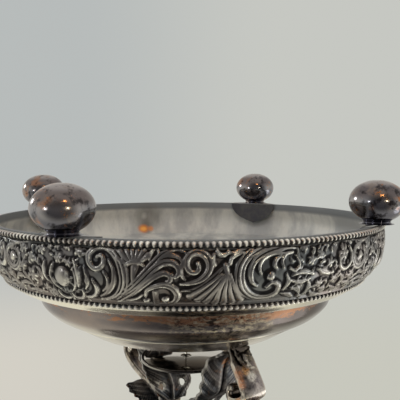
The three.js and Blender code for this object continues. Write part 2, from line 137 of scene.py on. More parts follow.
class Value:
    """A number that changes over the surface. Sums on it add Math nodes."""

    def __init__(self, finish, socket):
        self.finish = finish
        self.socket = socket

    def combined(self, operation, *others, clamp=False):
        settings = {"operation": operation, "use_clamp": clamp}
        inputs = dict(enumerate((self,) + others))
        return self.finish.node("ShaderNodeMath", settings, inputs)

    def __add__(self, other):
        return self.combined("ADD", other)

    def __mul__(self, other):
        return self.combined("MULTIPLY", other)

    def __sub__(self, other):
        return self.combined("SUBTRACT", other)

    def __rsub__(self, other):
        return self.finish.node("ShaderNodeMath", {"operation": "SUBTRACT"}, {0: other, 1: self})

    __radd__ = __add__
    __rmul__ = __mul__

    def clamped(self):
        return self.combined("ADD", 0.0, clamp=True)

    def step(self, low, high):
        """0 below low, 1 above high, and a smooth rise between."""
        settings = {"interpolation_type": "SMOOTHSTEP"}
        inputs = {"Value": self, "From Min": low, "From Max": high}
        return self.finish.node("ShaderNodeMapRange", settings, inputs)


class Finish:
    """A material under construction."""

    def __init__(self, name):
        self.material = bpy.data.materials.new(name)
        self.material.use_nodes = True
        self.tree = self.material.node_tree
        self.tree.nodes.clear()
        self.place = self.node("ShaderNodeTexCoord", {}, {}, "Object")

    def node(self, kind, settings, inputs, output=0):
        """Adds a node: its settings first, and then a value or a link for each input."""
        made = self.tree.nodes.new(kind)
        for name, value in settings.items():
            setattr(made, name, value)
        for name, value in inputs.items():
            if isinstance(value, Value):
                self.tree.links.new(value.socket, made.inputs[name])
            else:
                made.inputs[name].default_value = value
        return Value(self, made.outputs[output]) if made.outputs else None

    def stretched(self, scale):
        """Object coordinates, squeezed by a scale along each axis."""
        return self.node("ShaderNodeMapping", {}, {"Vector": self.place, "Scale": scale})

    def noise(self, scale, detail=3.0, roughness=0.5, along=None, distortion=0.0):
        inputs = {"Vector": along or self.place, "Scale": scale, "Detail": detail,
                  "Roughness": roughness, "Distortion": distortion}
        return self.node("ShaderNodeTexNoise", {}, inputs)

    def attribute(self, name):
        return self.node("ShaderNodeAttribute", {"attribute_name": name}, {}, "Fac")

    def along(self, axis):
        """One of the object coordinates, in millimetres."""
        return self.node("ShaderNodeSeparateXYZ", {}, {"Vector": self.place}, axis) * (1 / MM)

    def near(self, point, radius, tall=1.0):
        """1 round a point, fading to 0 at the radius, both in millimetres. Tall is
        how many times higher than wide the spot is."""
        middle = Vector((point[0], point[1], point[2] / tall)) * MM
        inputs = {0: self.stretched((1.0, 1.0, 1 / tall)), 1: middle}
        away = self.node("ShaderNodeVectorMath", {"operation": "DISTANCE"}, inputs, "Value")
        return 1 - away.step(0.3 * radius * MM, radius * MM)

    def mix(self, share, first, second):
        """Mixes two colours; the share runs from 0, the first, to 1, the second.
        A Mix node keeps its two colours on inputs 6 and 7 and the mixed one on
        output 2."""
        inputs = {0: share}
        for slot, colour in ((6, first), (7, second)):
            inputs[slot] = colour if isinstance(colour, Value) else (*colour, 1.0)
        return self.node("ShaderNodeMix", {"data_type": "RGBA"}, inputs, 2)

    def metal(self, colour, roughness, bump, depth, metallic=1.0):
        """Ends the graph in a metal. Depth is the height of the bump in millimetres."""
        heights = {"Strength": 1.0, "Distance": depth * MM, "Height": bump}
        normal = self.node("ShaderNodeBump", {}, heights)
        inputs = {"Base Color": colour, "Roughness": roughness, "Metallic": metallic, "Normal": normal}
        shader = self.node("ShaderNodeBsdfPrincipled", {}, inputs)
        self.node("ShaderNodeOutputMaterial", {}, {"Surface": shader})
        return self.material


# %% [markdown]
# ## Room, floor and lamps
# Polished metal shows the room more than itself. The world is therefore three
# things: what the camera sees behind the object is a pale wall, what the metal
# reflects is a pale room with a dark side where the photographer stands, and
# what lights dull surfaces is an even grey. The floor shows only from above,
# so the main camera, which looks up from under it, sees past it.

# %% World
WALL_COOL = (0.475, 0.50, 0.495)
WALL_MIDDLE = (0.565, 0.575, 0.54)
WALL_WARM = (0.65, 0.625, 0.56)
WALL_LOW = (0.575, 0.575, 0.51)
ROOM_PALE = (0.62, 0.61, 0.57)
ROOM_HIGH = (0.84, 0.81, 0.70)
ROOM_LOW = (0.46, 0.43, 0.42)
ROOM_DARK = (0.10, 0.096, 0.10)
ROOM_PLAIN = (0.42, 0.42, 0.42)
PHOTOGRAPHER = Vector((0.524, -0.852, 0.05)).normalized()
UP = Vector((0.0, 0.0, 1.0))
WALL_LEFT = Vector((0.84, 0.54, 0.0)).normalized()


class World(Finish):
    """The same node writer, on the world's own tree."""

    def __init__(self, name):
        self.world = bpy.data.worlds.new(name)
        self.world.use_nodes = True
        self.tree = self.world.node_tree
        self.tree.nodes.clear()
        self.place = self.node("ShaderNodeTexCoord", {}, {}, "Generated")

    def facing(self, direction):
        """How far the ray points to a direction, from -1 to 1."""
        settings = {"operation": "DOT_PRODUCT"}
        return self.node("ShaderNodeVectorMath", settings, {0: self.place, 1: direction}, "Value")


def room():
    """What the camera sees, what the metal mirrors and what lights dull surfaces."""
    world = World("pale_room")
    height = world.facing(UP)
    left = world.facing(WALL_LEFT)
    low_wall = world.mix(left.step(-0.1, 0.3), WALL_LOW, WALL_WARM)
    high_wall = world.mix(left.step(-0.15, 0.22), WALL_MIDDLE, WALL_COOL)
    seen = world.mix(height.step(0.12, 0.32), high_wall, low_wall)
    reflected = world.mix(height.step(-0.75, 0.05), ROOM_LOW, ROOM_PALE)
    reflected = world.mix(height.step(0.1, 0.7), reflected, ROOM_HIGH)
    reflected = world.mix(world.facing(PHOTOGRAPHER).step(0.25, 0.85), reflected, ROOM_DARK)
    glossy = world.node("ShaderNodeLightPath", {}, {}, "Is Glossy Ray")
    through = world.node("ShaderNodeLightPath", {}, {}, "Is Transmission Ray")
    camera_ray = world.node("ShaderNodeLightPath", {}, {}, "Is Camera Ray")
    colour = world.mix(glossy, ROOM_PLAIN, reflected)
    colour = world.mix((camera_ray + through).clamped(), colour, seen)
    back = world.node("ShaderNodeBackground", {}, {"Color": colour, "Strength": 1.0})
    world.node("ShaderNodeOutputWorld", {}, {"Surface": back})
    scene.world = world.world


room()
print("world nodes:", len(scene.world.node_tree.nodes))

# %% Floor
FLOOR_HALF_M = 15.0


def pale_floor():
    """A cloth that is seen from above and clear from below."""
    finish = Finish("pale_floor")
    speck = finish.noise(220.0, 4.0)
    colour = finish.mix(speck.step(0.3, 0.7), (0.70, 0.70, 0.68), (0.73, 0.73, 0.71))
    cloth = finish.node("ShaderNodeBsdfDiffuse", {}, {"Color": colour})
    clear = finish.node("ShaderNodeBsdfTransparent", {}, {})
    behind = finish.node("ShaderNodeNewGeometry", {}, {}, "Backfacing")
    both = finish.node("ShaderNodeMixShader", {}, {0: behind, 1: cloth, 2: clear})
    finish.node("ShaderNodeOutputMaterial", {}, {"Surface": both})
    bm = bmesh.new()
    bmesh.ops.create_grid(bm, x_segments=2, y_segments=2, size=FLOOR_HALF_M)
    mesh = bpy.data.meshes.new("floor")
    bm.to_mesh(mesh)
    bm.free()
    floor = bpy.data.objects.new("floor", mesh)
    mesh.materials.append(finish.material)
    scene.collection.objects.link(floor)
    floor.visible_glossy = False
    floor.visible_diffuse = False
    floor.visible_transmission = False
    floor.visible_shadow = False
    print("floor half size in metres:", FLOOR_HALF_M)


pale_floor()

# %% Lamps
BASE_MIDDLE = (0.0, 0.0, 0.04)
CREAM_LIGHT = (1.0, 0.88, 0.66)
ORANGE_LIGHT = (1.0, 0.42, 0.12)


def lamp(name, place, aim, size, power, colour=(1.0, 1.0, 1.0), mirrored=True):
    """A round soft lamp that looks from its place to a point of the object."""
    data = bpy.data.lights.new(name, "AREA")
    data.shape = "DISK"
    data.size = size
    data.energy = power
    data.color = colour
    made = bpy.data.objects.new(name, data)
    made.location = place
    made.rotation_mode = "QUATERNION"
    made.rotation_quaternion = (Vector(aim) - Vector(place)).to_track_quat("-Z", "Y")
    made.visible_glossy = mirrored
    made.visible_camera = False
    scene.collection.objects.link(made)


lamp("soft_top", (0.3, -0.5, 1.3), (0, 0, 0.15), 0.9, 7.0, mirrored=False)
lamp("soft_side", (-0.9, -0.6, 0.6), (0, 0, 0.12), 0.7, 2.0)
lamp("soft_below", (0.45, -0.55, -0.9), BASE_MIDDLE, 0.6, 5.0, mirrored=False)
lamp("far_window", (0.35, 0.62, -0.16), BASE_MIDDLE, 0.12, 0.5)
lamp("near_window", (0.74, -0.16, -0.06), BASE_MIDDLE, 0.07, 0.25)
lamp("cream_bulb", (0.10, -0.78, -0.12), BASE_MIDDLE, 0.06, 0.3, CREAM_LIGHT)
lamp("orange_bulb", (0.16, -0.52, -0.52), BASE_MIDDLE, 0.05, 0.25, ORANGE_LIGHT)
print("lamps:", len(bpy.data.lights))

# %% [markdown]
# ## Making pieces
# Most of this object is turned: an outline is spun round the axis. `turned`
# draws the outline as a chain of points and spins it. `swept` carries a
# section along a curve by extruding its edge loop ring by ring, which suits
# straps. Every piece ends in `keep`, which merges doubles, points the faces
# outwards, scales to metres and hangs the piece on its CAD body.

# %% Smooth lines


def smooth_path(points, count):
    """Evenly spaced points on a smooth curve through the given ones."""
    points = np.asarray(points, float)
    padded = np.vstack([points[:1], points, points[-1:]])
    fine = []
    for a, b, c, d in zip(padded, padded[1:], padded[2:], padded[3:]):
        for t in np.linspace(0, 1, 12, endpoint=False):
            square = (2 * a - 5 * b + 4 * c - d) * t**2
            cube = (3 * b - a - 3 * c + d) * t**3
            fine.append(0.5 * (2 * b + (c - a) * t + square + cube))
    fine = np.vstack([fine, points[-1:]])
    length = np.r_[0, np.cumsum(np.linalg.norm(np.diff(fine, axis=0), axis=1))]
    wanted = np.linspace(0, length[-1], count)
    return np.stack([np.interp(wanted, length, fine[:, k]) for k in range(points.shape[1])], -1)


def beside(line, distance):
    """The same line moved to its left."""
    along = np.gradient(np.asarray(line, float), axis=0)
    along /= np.linalg.norm(along, axis=1)[:, None]
    return line + distance * np.stack([-along[:, 1], along[:, 0]], -1)


def as_pairs(points):
    """The rows of a table as pairs, for an outline that is put together as a list."""
    return [tuple(p) for p in points]


def curve(points, count):
    """A smooth path as pairs, ready to be part of an outline."""
    return as_pairs(smooth_path(points, count))


# %% Spun shapes


def chain(bm, points, closed):
    """Points joined by edges, in the plane y = 0."""
    verts = [bm.verts.new((r, 0.0, z)) for r, z in points]
    edges = [bm.edges.new(pair) for pair in zip(verts, verts[1:])]
    if closed:
        edges.append(bm.edges.new((verts[-1], verts[0])))
    return verts + edges


def copied_round(bm, doublings):
    """Copies a shape round the axis, twice as many with each doubling."""
    angle = math.tau / 2**doublings
    for _ in range(doublings):
        copy = bmesh.ops.duplicate(bm, geom=bm.verts[:] + bm.edges[:] + bm.faces[:])["geom"]
        verts = [part for part in copy if isinstance(part, bmesh.types.BMVert)]
        bmesh.ops.rotate(bm, cent=(0, 0, 0), matrix=Matrix.Rotation(angle, 3, "Z"), verts=verts)
        angle *= 2
    return bm


def turned(points, steps, closed=True):
    """Spins an outline of (radius, height) points about the Z axis. A spin slows
    down as its mesh grows, so a fine one is spun in part and copied round."""
    doublings = 4 if steps > 100 else 0
    parts = 2**doublings
    bm = bmesh.new()
    geom = chain(bm, points, closed)
    bmesh.ops.spin(bm, geom=geom, cent=(0, 0, 0), axis=(0, 0, 1), dvec=(0, 0, 0),
                   angle=math.tau / parts, steps=steps // parts, use_merge=parts == 1)
    return copied_round(bm, doublings)


def joined(bm, other):
    """Adds another bmesh to this one."""
    mesh = bpy.data.meshes.new("passing")
    other.to_mesh(mesh)
    other.free()
    bm.from_mesh(mesh)
    bpy.data.meshes.remove(mesh)
    return bm


# %% Finished pieces


def keep(bm, name, finish, stands_for, body="stand", crease=40.0):
    """Turns a bmesh in millimetres into a finished piece in metres."""
    bmesh.ops.remove_doubles(bm, verts=bm.verts, dist=0.002)
    bmesh.ops.recalc_face_normals(bm, faces=bm.faces)
    bmesh.ops.scale(bm, vec=(MM, MM, MM), verts=bm.verts)
    mesh = bpy.data.meshes.new(name)
    bm.to_mesh(mesh)
    bm.free()
    mesh.shade_smooth()
    mesh.set_sharp_from_angle(angle=math.radians(crease))
    mesh.materials.append(finish)
    piece = bpy.data.objects.new(name, mesh)
    scene.collection.objects.link(piece)
    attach(piece, body)
    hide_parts(stands_for)
    mark_wear(piece)
    print(name, "faces:", len(mesh.polygons))
    return piece


# %% Numbers on the vertices


def vertex_table(mesh, field):
    """The mesh's places or normals as an array with one row for each vertex."""
    flat = np.empty(len(mesh.vertices) * 3, np.float32)
    mesh.vertices.foreach_get(field, flat)
    return flat.reshape(-1, 3)


def paint(mesh, name, values):
    """Stores one number for each vertex, for materials to read."""
    layer = mesh.attributes.new(name, "FLOAT", "POINT")
    layer.data.foreach_set("value", np.asarray(values, np.float32))


def mark_wear(piece):
    """Stores how strongly each vertex stands out, which is where plate wears."""
    mesh = piece.data
    place, normal = vertex_table(mesh, "co"), vertex_table(mesh, "normal")
    pairs = np.empty(len(mesh.edges) * 2, np.int32)
    mesh.edges.foreach_get("vertices", pairs)
    a, b = pairs.reshape(-1, 2).T
    run = place[b] - place[a]
    size = np.maximum(np.linalg.norm(run, axis=1), 1e-7)
    total = np.zeros(len(place))
    count = np.zeros(len(place))
    np.add.at(total, a, -(normal[a] * run).sum(1) / size)
    np.add.at(total, b, (normal[b] * run).sum(1) / size)
    np.add.at(count, a, 1)
    np.add.at(count, b, 1)
    paint(mesh, "worn", np.clip(total / np.maximum(count, 1), -0.5, 0.5))


# %% [markdown]
# ## Finishes
# All but the plain fastenings is silver plate over a copper alloy, and its looks
# come from age. Hollows hold black tarnish with a blue or purple film, raised
# parts are rubbed bright, and where the plate is thin the copper comes through.
# Each finish mixes these by an attribute of the piece, by place and by noise,
# so it fits the piece without a picture laid over it.

# %% Colours of old plate
BRIGHT = (0.80, 0.78, 0.68)
GREY = (0.20, 0.19, 0.185)
BLACK = (0.014, 0.013, 0.015)
PURPLE = (0.20, 0.165, 0.165)
BLUE = (0.13, 0.165, 0.195)
BROWN = (0.15, 0.105, 0.08)
COPPER = (0.55, 0.25, 0.11)
CREAM = (0.60, 0.53, 0.40)
BRASS = (0.42, 0.31, 0.13)
NEAR_BLACK = (0.055, 0.045, 0.04)
BARE_COPPER = (0.66, 0.31, 0.16)


def tarnish(finish, first=PURPLE, second=BLUE, scale=70.0):
    """A film whose tint wanders between two colours."""
    tint = finish.noise(scale, 3.0, 0.6).step(0.38, 0.62)
    return finish.mix(tint, first, second)


# %% [markdown]
# ### The border and its beads
# On the real border polishing reached the crests, and black tarnish filled the
# hollows. A picture could be laid over it, but the finish has to fit the relief,
# so it reads the die's height and crest from each vertex instead. The plain
# underside is pale and dull, with painted reflections where the photograph has
# them: a dark smear, a dark streak, orange spots and a pale spot. The beads are
# bright on their crowns and dark between, with a painted highlight on one side.

# %% Border finish
# Centres of painted reflections on the underside: a dark smear, a dark streak, two orange spots and a
# pale spot.
DARK_REFLECTION_SPOT = (-20.5, 73.0, 24.6)
ORANGE_REFLECTION_SPOT = (-18.4, 74.5, 30.3)
SMALL_ORANGE_REFLECTION = (-22.3, 73.4, 30.4)
DARK_REFLECTION_STREAK = (-20.2, 74.0, 29.5)
PALE_REFLECTION_SPOT = (-19.0, 74.2, 23.4)


def relief_silver():
    """The outside by relief and crest, and the underside with its painted reflections."""
    finish = Finish("relief_silver")
    rise = finish.attribute("relief")
    crest = finish.attribute("crest")
    inside = finish.attribute("inside")
    film = tarnish(finish, (0.215, 0.185, 0.17), (0.165, 0.175, 0.18), 38.0)
    grain = finish.noise(520.0, 5.0, 0.7)
    body = finish.mix(rise.step(0.2, 1.0) * 0.75, film, (0.50, 0.48, 0.45))
    hollow = (0 - crest).step(0.03, 0.36)
    deep = finish.mix(hollow * (0.7 + 0.4 * grain), body, BLACK)
    line = (crest.step(0.34, 0.78) * grain.step(0.36, 0.62)).clamped()
    outer = finish.mix(line, deep, BRIGHT)
    streaks = finish.noise(55.0, 5.0, 0.6, finish.stretched((1.0, 1.0, 0.35)))
    under = finish.mix(streaks.step(0.40, 0.62), (0.75, 0.745, 0.685), (0.47, 0.475, 0.46))
    edge = 1 - finish.along("Z").step(RIM_Z + 2.4, RIM_Z + 4.2)
    under = finish.mix(edge * inside, under, (0.28, 0.295, 0.30))
    # Painted reflections on the underside: a streaked dark smear, a dark streak, a pale spot and two
    # orange spots.
    painted_dark_reflection = (finish.near(DARK_REFLECTION_SPOT, 11.0) * (0.4 + streaks)).clamped()
    under = finish.mix(painted_dark_reflection * 0.85, under, (0.20, 0.195, 0.18))
    under = finish.mix(finish.near(DARK_REFLECTION_STREAK, 3.6, 2.6) * 0.7, under, (0.17, 0.155, 0.13))
    under = finish.mix(finish.near(PALE_REFLECTION_SPOT, 2.8) * 0.6, under, (0.90, 0.90, 0.84))
    under = finish.mix(finish.near(ORANGE_REFLECTION_SPOT, 4.0, 0.8) * 0.9, under, (0.85, 0.27, 0.04))
    under = finish.mix(finish.near(ORANGE_REFLECTION_SPOT, 2.4, 0.7), under, (1.0, 0.50, 0.12))
    under = finish.mix(finish.near(SMALL_ORANGE_REFLECTION, 2.2) * 0.7, under, (0.80, 0.30, 0.08))
    colour = finish.mix(inside, outer, under)
    rough = 0.30 - 0.1 * line + 0.3 * hollow + 0.32 * inside
    pits = finish.noise(420.0, 5.0, 0.65)
    return finish.metal(colour, rough, pits, 0.12, 1 - 0.55 * inside - 0.3 * line * (1 - inside))


# %% Bead finish


def bead_silver():
    """Bright on the crowns of the beads, dark between them, with a painted highlight on one side of each
    bead.
    """
    finish = Finish("bead_silver")
    film = tarnish(finish, (0.20, 0.17, 0.15), (0.14, 0.155, 0.175), 55.0)
    crown = finish.attribute("crown")
    patch = finish.noise(50.0, 4.0).step(0.4, 0.65)
    top = finish.mix(patch, (0.62, 0.58, 0.52), (0.92, 0.90, 0.80))
    hollow = finish.mix(0.55, BLACK, film)
    colour = finish.mix(crown.step(0.35, 0.85), hollow, top)
    matt = 0.75 * crown.step(0.7, 1.15)
    return finish.metal(colour, 0.34 + 0.1 * patch, finish.noise(1200.0, 2.0), 0.03, 1 - matt)


# %% [markdown]
# ### Dome and disc
# The spun pieces are smooth, so their age shows as a thin cloudy film, darker
# patches, and copper where the plate is rubbed through; on top of that they get
# painted reflections and a painted highlight. Both are the same metal with other
# wear, so one function makes the plate, and a second one, handed to it, says
# where the wear and the painted light are.

# %% Spun plate


def spun_plate(name, film_a, film_b, polish, wear_and_light_here):
    """Dome and disc: polished dark plate. The last argument says where it is worn
    through to copper and crazed, where it is darker, with darker patches and painted
    dark reflections, and where it is lighter, with painted pale reflections and a
    painted highlight."""
    finish = Finish(name)
    bands = finish.stretched((1.0, 1.0, 4.0))
    wide = finish.noise(24.0, 5.0, 0.62, bands)
    fine = finish.noise(190.0, 6.0, 0.75, bands, 0.3)
    cloud = finish.noise(34.0, 4.0, 0.6, finish.stretched((1.0, 1.0, 1.8)))
    film = finish.mix(cloud.step(0.36, 0.64), film_a, film_b)
    wear, crackle, dark, bright = wear_and_light_here(finish, wide, fine)
    # Painted light: lighter where the second function gives painted pale reflections and a painted
    # highlight, darker where it gives painted dark reflections and darker patches.
    film = finish.mix(bright, film, (0.82, 0.79, 0.68))
    film = finish.mix(dark * 0.75, film, NEAR_BLACK)
    colour = finish.mix(wear, film, COPPER)
    colour = finish.mix(dark * 0.45, colour, NEAR_BLACK)
    flake = finish.noise(430.0, 5.0, 0.7, finish.stretched((1.0, 1.0, 1.7)))
    colour = finish.mix(crackle * fine.step(0.45, 0.50) * 0.35, colour, BLACK)
    colour = finish.mix(crackle * fine.step(0.53, 0.56) * 0.7, colour, CREAM)
    colour = finish.mix(crackle * flake.step(0.54, 0.58) * 0.8, colour, CREAM)
    colour = finish.mix(crackle * (1 - flake.step(0.40, 0.45)) * 0.85, colour, BLACK)
    lines = finish.noise(300.0, 3.0, 0.6, finish.stretched((1.0, 1.0, 24.0)))
    rough = polish + 0.2 * wear + 0.1 * cloud
    return finish.metal(colour, rough, lines, 0.008)


# %% Wear, darker patches and painted reflections on the dome and the disc
WORN_SPOT = (22.0, -56.0, 47.0)
# Centres of a painted dark reflection on the ledge, of darker patches on the wall, and of a painted dark
# reflection on the disc.
LEDGE_DARK_REFLECTION = (28.0, -58.6, 40.5)
STRIPE_DARK_PATCH = (24.0, -47.5, 54.0)
DOME_DARK_PATCH = (-26.0, -54.0, 47.5)
SIDE_DARK_PATCH = (-8.0, -58.5, 44.5)
DISC_DARK_REFLECTION = (8.0, -14.5, 76.0)


def dome_wear_and_painted_light(finish, wide, fine):
    """Copper shows along the wall's upper edge, and one spot is crazed. The ledge has
    a painted reflection, pale with a dark middle, the fine line has a painted
    highlight, and the wall has darker patches, a darker top and a paler band.
    """
    up = finish.along("Z")
    edge = up.step(42.2, 42.8) * (1 - up.step(44.6, 48.0))
    spot = finish.near(WORN_SPOT, 24.0)
    wear = (wide * 0.5 + fine * 0.5 + 0.115 * edge + 0.04 * spot).step(0.59, 0.64)
    ledge = 1 - up.step(41.0, 41.6)
    # A painted dark reflection in the ledge's middle; the stripe, the wall patches and the top are only
    # darker.
    ledge_reflected_dark = finish.near(LEDGE_DARK_REFLECTION, 22.0)
    stripe = up.step(52.2, 53.0) * (1 - up.step(54.2, 54.5)) * finish.near(STRIPE_DARK_PATCH, 34.0)
    dark = ledge * ledge_reflected_dark + 0.9 * (1 - ledge) * finish.near(DOME_DARK_PATCH, 30.0) + stripe
    dark = (dark + 0.55 * finish.near(SIDE_DARK_PATCH, 23.0) + 0.7 * up.step(61.7, 62.1)).clamped()
    line = up.step(54.5, 54.8) * (1 - up.step(55.3, 55.7))
    low = 0.4 * up.step(49.0, 52.0) * (1 - up.step(60.8, 61.6))
    # Lighter: a painted pale reflection on the ledge outside its dark middle, a painted highlight on the
    # fine line, and a paler band up the wall and step.
    bright = ledge * (1 - ledge_reflected_dark) + 0.55 * line * wide.step(0.38, 0.52) + low
    return wear * (0.12 + 0.55 * edge + 0.3 * low), spot * wide.step(0.34, 0.5), dark, bright.clamped()


def disc_wear_and_painted_light(finish, wide, fine):
    """The disc is nearly whole, with a little wear and a painted dark reflection on its front, and its
    rim is black.
    """
    rim = 1 - finish.near((0.0, 0.0, DISC_Z), 28.0).step(0.44, 0.49)
    # A painted dark reflection on the front of the disc.
    painted_dark_reflection = finish.near(DISC_DARK_REFLECTION, 15.0) * 0.45
    return (wide * fine).step(0.36, 0.44), 0.0, (rim * 0.6 + painted_dark_reflection).clamped(), 0.0


# %% [markdown]
# ### Feet, castings and basket
# The balls mirror the room and are flecked with copper. The castings are
# rougher, black in their hollows and rubbed on their edges, which the wear
# attribute gives without any painting by hand. The basket and the handle aren't
# in the photograph, so they get the same plate under a plain cloudy film.

# %% Ball finish


def ball_plate():
    """Glossy and dark, with a brown belt, copper flecks and black stains, a painted pale reflection on
    the bottom cap and a painted dark reflection over the upper half.
    """
    finish = Finish("ball_plate")
    film = tarnish(finish, (0.48, 0.45, 0.44), (0.31, 0.315, 0.34), 60.0)
    up = finish.along("Z")
    # A painted pale reflection lightens the bottom cap round the flat.
    film = finish.mix(1 - up.step(0.8, 2.4), film, (0.56, 0.53, 0.50))
    belt = up.step(0.8, 2.8) * (1 - up.step(4.6, 7.6))
    film = finish.mix(belt * 0.6, film, (0.13, 0.10, 0.085))
    # A painted dark reflection darkens the upper half.
    film = finish.mix(up.step(6.0, 12.5), film, (0.115, 0.115, 0.14))
    cloud = finish.noise(110.0, 5.0, 0.65)
    rub = finish.mix(cloud.step(0.54, 0.70) * 0.7, film, (0.40, 0.33, 0.27))
    specks = finish.noise(420.0, 4.0, 0.7).step(0.60, 0.68)
    stains = finish.noise(75.0, 4.0, 0.6).step(0.56, 0.64)
    colour = finish.mix((specks * cloud.step(0.46, 0.6) + 0.55 * stains).clamped(), rub, COPPER)
    black = finish.noise(240.0, 6.0, 0.75).step(0.52, 0.62)
    colour = finish.mix(black * 0.75, colour, BLACK)
    pits = finish.noise(640.0, 3.0, 0.6)
    rough = 0.11 + 0.12 * cloud + 0.2 * specks
    return finish.metal(colour, rough, pits, 0.02)


# %% Casting finish


def cast_plate(name, film_a, film_b, high, roughness=0.32, darker_below_z=0.0, glints_and_wear=()):
    """Cast brackets, leaves and stem: dark in the hollows, rubbed on the edges and
    darker below a height. Each entry of the last argument is a place, a radius, a
    colour and how metallic it is."""
    finish = Finish(name)
    film = tarnish(finish, film_a, film_b, 80.0)
    worn = finish.attribute("worn")
    cloud = finish.noise(120.0, 5.0, 0.65)
    rubbed_and_lit_side = (worn.step(0.02, 0.16) * (0.35 + 1.0 * cloud)).clamped()
    deep = finish.mix((0 - worn).step(0.01, 0.12), film, BLACK)
    colour = finish.mix(rubbed_and_lit_side, deep, high)
    colour = finish.mix(cloud.step(0.60, 0.70) * 0.7, colour, COPPER)
    stains = finish.noise(230.0, 6.0, 0.75).step(0.48, 0.60)
    colour = finish.mix(stains * 0.65, colour, BLACK)
    # Darker below a given height; on the bracket this is the tongue where it lies on the dome.
    darker_below = 1 - finish.along("Z").step(darker_below_z - 1.0, darker_below_z + 4.0)
    colour = finish.mix(darker_below * 0.75, colour, (0.045, 0.035, 0.03))
    metallic = 1.0
    ragged = finish.noise(420.0, 6.0, 0.8).step(0.36, 0.60)
    # Each mark is a spot of colour and metal; on the strap most are painted highlights and reflections,
    # and two are worn copper.
    for place, radius, mark, shine in glints_and_wear:
        spot = finish.near(place, radius, 1.3) * ragged
        colour = finish.mix(spot, colour, mark)
        metallic = metallic * (1 - spot) + shine * spot
    rough = roughness + 0.12 * cloud - 0.08 * rubbed_and_lit_side
    return finish.metal(colour, rough, finish.noise(500.0, 5.0, 0.65), 0.08, metallic)


# %% Foot plates, basket and fastenings


def dull_plate():
    """The foot plates: unpolished, with a paler lip."""
    finish = Finish("dull_tab")
    cloud = finish.noise(160.0, 5.0, 0.7)
    colour = finish.mix(cloud.step(0.35, 0.68), (0.12, 0.125, 0.14), (0.20, 0.195, 0.19))
    lip = 1 - finish.along("Z").step(RIM_Z - 0.1, RIM_Z + 0.3)
    colour = finish.mix(lip, colour, (0.52, 0.52, 0.50))
    return finish.metal(colour, 0.42 + 0.2 * cloud - 0.2 * lip, finish.noise(700.0, 3.0), 0.08)


def polished_plate(name, bright, dark):
    """Basket and handle: polished plate under a thin, cloudy film."""
    finish = Finish(name)
    worn = finish.attribute("worn")
    cloud = finish.noise(26.0, 5.0, 0.62)
    spots = finish.noise(170.0, 5.0, 0.7).step(0.56, 0.66)
    colour = finish.mix(cloud.step(0.36, 0.62), bright, dark)
    colour = finish.mix(spots * 0.5, colour, GREY)
    colour = finish.mix(worn.step(0.05, 0.3), colour, BRIGHT)
    rub = finish.noise(400.0, 2.0, 0.5, finish.stretched((1.0, 1.0, 6.0)))
    return finish.metal(colour, 0.16 + 0.16 * cloud + 0.08 * rub, rub, 0.015)


def dull_brass():
    """Washer, nuts, rod and rivets: bare brass gone brown."""
    finish = Finish("dull_brass")
    cloud = finish.noise(180.0, 5.0, 0.65)
    colour = finish.mix(cloud.step(0.38, 0.64), BRASS, BROWN)
    return finish.metal(colour, 0.35 + 0.25 * cloud, finish.noise(900.0, 3.0), 0.05)


# %% Make the finishes
RELIEF = relief_silver()
BEAD = bead_silver()
DOME = spun_plate("dome_plate", (0.30, 0.255, 0.235), (0.19, 0.175, 0.18), 0.15, dome_wear_and_painted_light)
DISC = spun_plate("disc_plate", (0.86, 0.83, 0.75), (0.72, 0.70, 0.64), 0.03, disc_wear_and_painted_light)
BALL = ball_plate()
TAB = dull_plate()
# On the strap a pale patch is a painted reflection, and a white and an orange spot are painted
# highlights; the two copper spots are plate worn through to copper, and one patch is black.
STRAP_GLINTS_AND_WEAR = (
    ((-0.8, -47.2, 74.2), 6.0, (0.62, 0.57, 0.53), 0.6),
    ((2.0, -45.8, 72.6), 4.0, BLACK, 1.0),
    ((3.9, -43.0, 69.3), 2.6, BARE_COPPER, 0.6),
    ((4.7, -45.4, 72.3), 2.4, BARE_COPPER, 0.6),
    ((0.9, -42.9, 69.1), 2.2, (0.98, 0.58, 0.24), 0.4),
    ((-0.6, -44.8, 71.4), 2.8, (0.98, 0.95, 0.84), 0.2),
)
BRACKET = cast_plate("bracket_plate", (0.42, 0.35, 0.28), (0.26, 0.235, 0.24), (0.74, 0.68, 0.58),
                     0.2, 64.0, STRAP_GLINTS_AND_WEAR)
LEAF = cast_plate("leaf_plate", (0.15, 0.135, 0.13), (0.10, 0.11, 0.125), (0.46, 0.44, 0.40), 0.44)
STEM = cast_plate("stem_plate", (0.30, 0.27, 0.25), (0.20, 0.205, 0.22), (0.66, 0.63, 0.56), 0.22)
BASKET = polished_plate("basket_plate", (0.42, 0.40, 0.37), (0.24, 0.225, 0.215))
HANDLE = polished_plate("handle_plate", (0.44, 0.42, 0.39), (0.22, 0.21, 0.20))
FIXING = dull_brass()
for made in (RELIEF, BEAD, DOME, DISC, BALL, TAB, BRACKET, LEAF, STEM, BASKET, HANDLE, FIXING):
    print(made.name, "nodes:", len(made.node_tree.nodes))

# %% [markdown]
# ## The relief pattern
# The border was stamped from a die: one pattern of scrolls, a plume, a fluted
# shell and a posy, repeated four times round the rim. The die is rebuilt here
# as a height map of one repeat. Each shape is a stroke with a width and a
# height, placed in degrees along the rim and in shares of the band's
# height, and the higher shape wins where two meet. A map of heights is simpler
# than carving thousands of faces, and both borders can be pressed from it.

# %% The die
REPEAT = 90.0
DEGREE_MM = 1.396
BAND_MM = 25.7
DIE_COLUMNS = 480
DIE_ROWS = 110


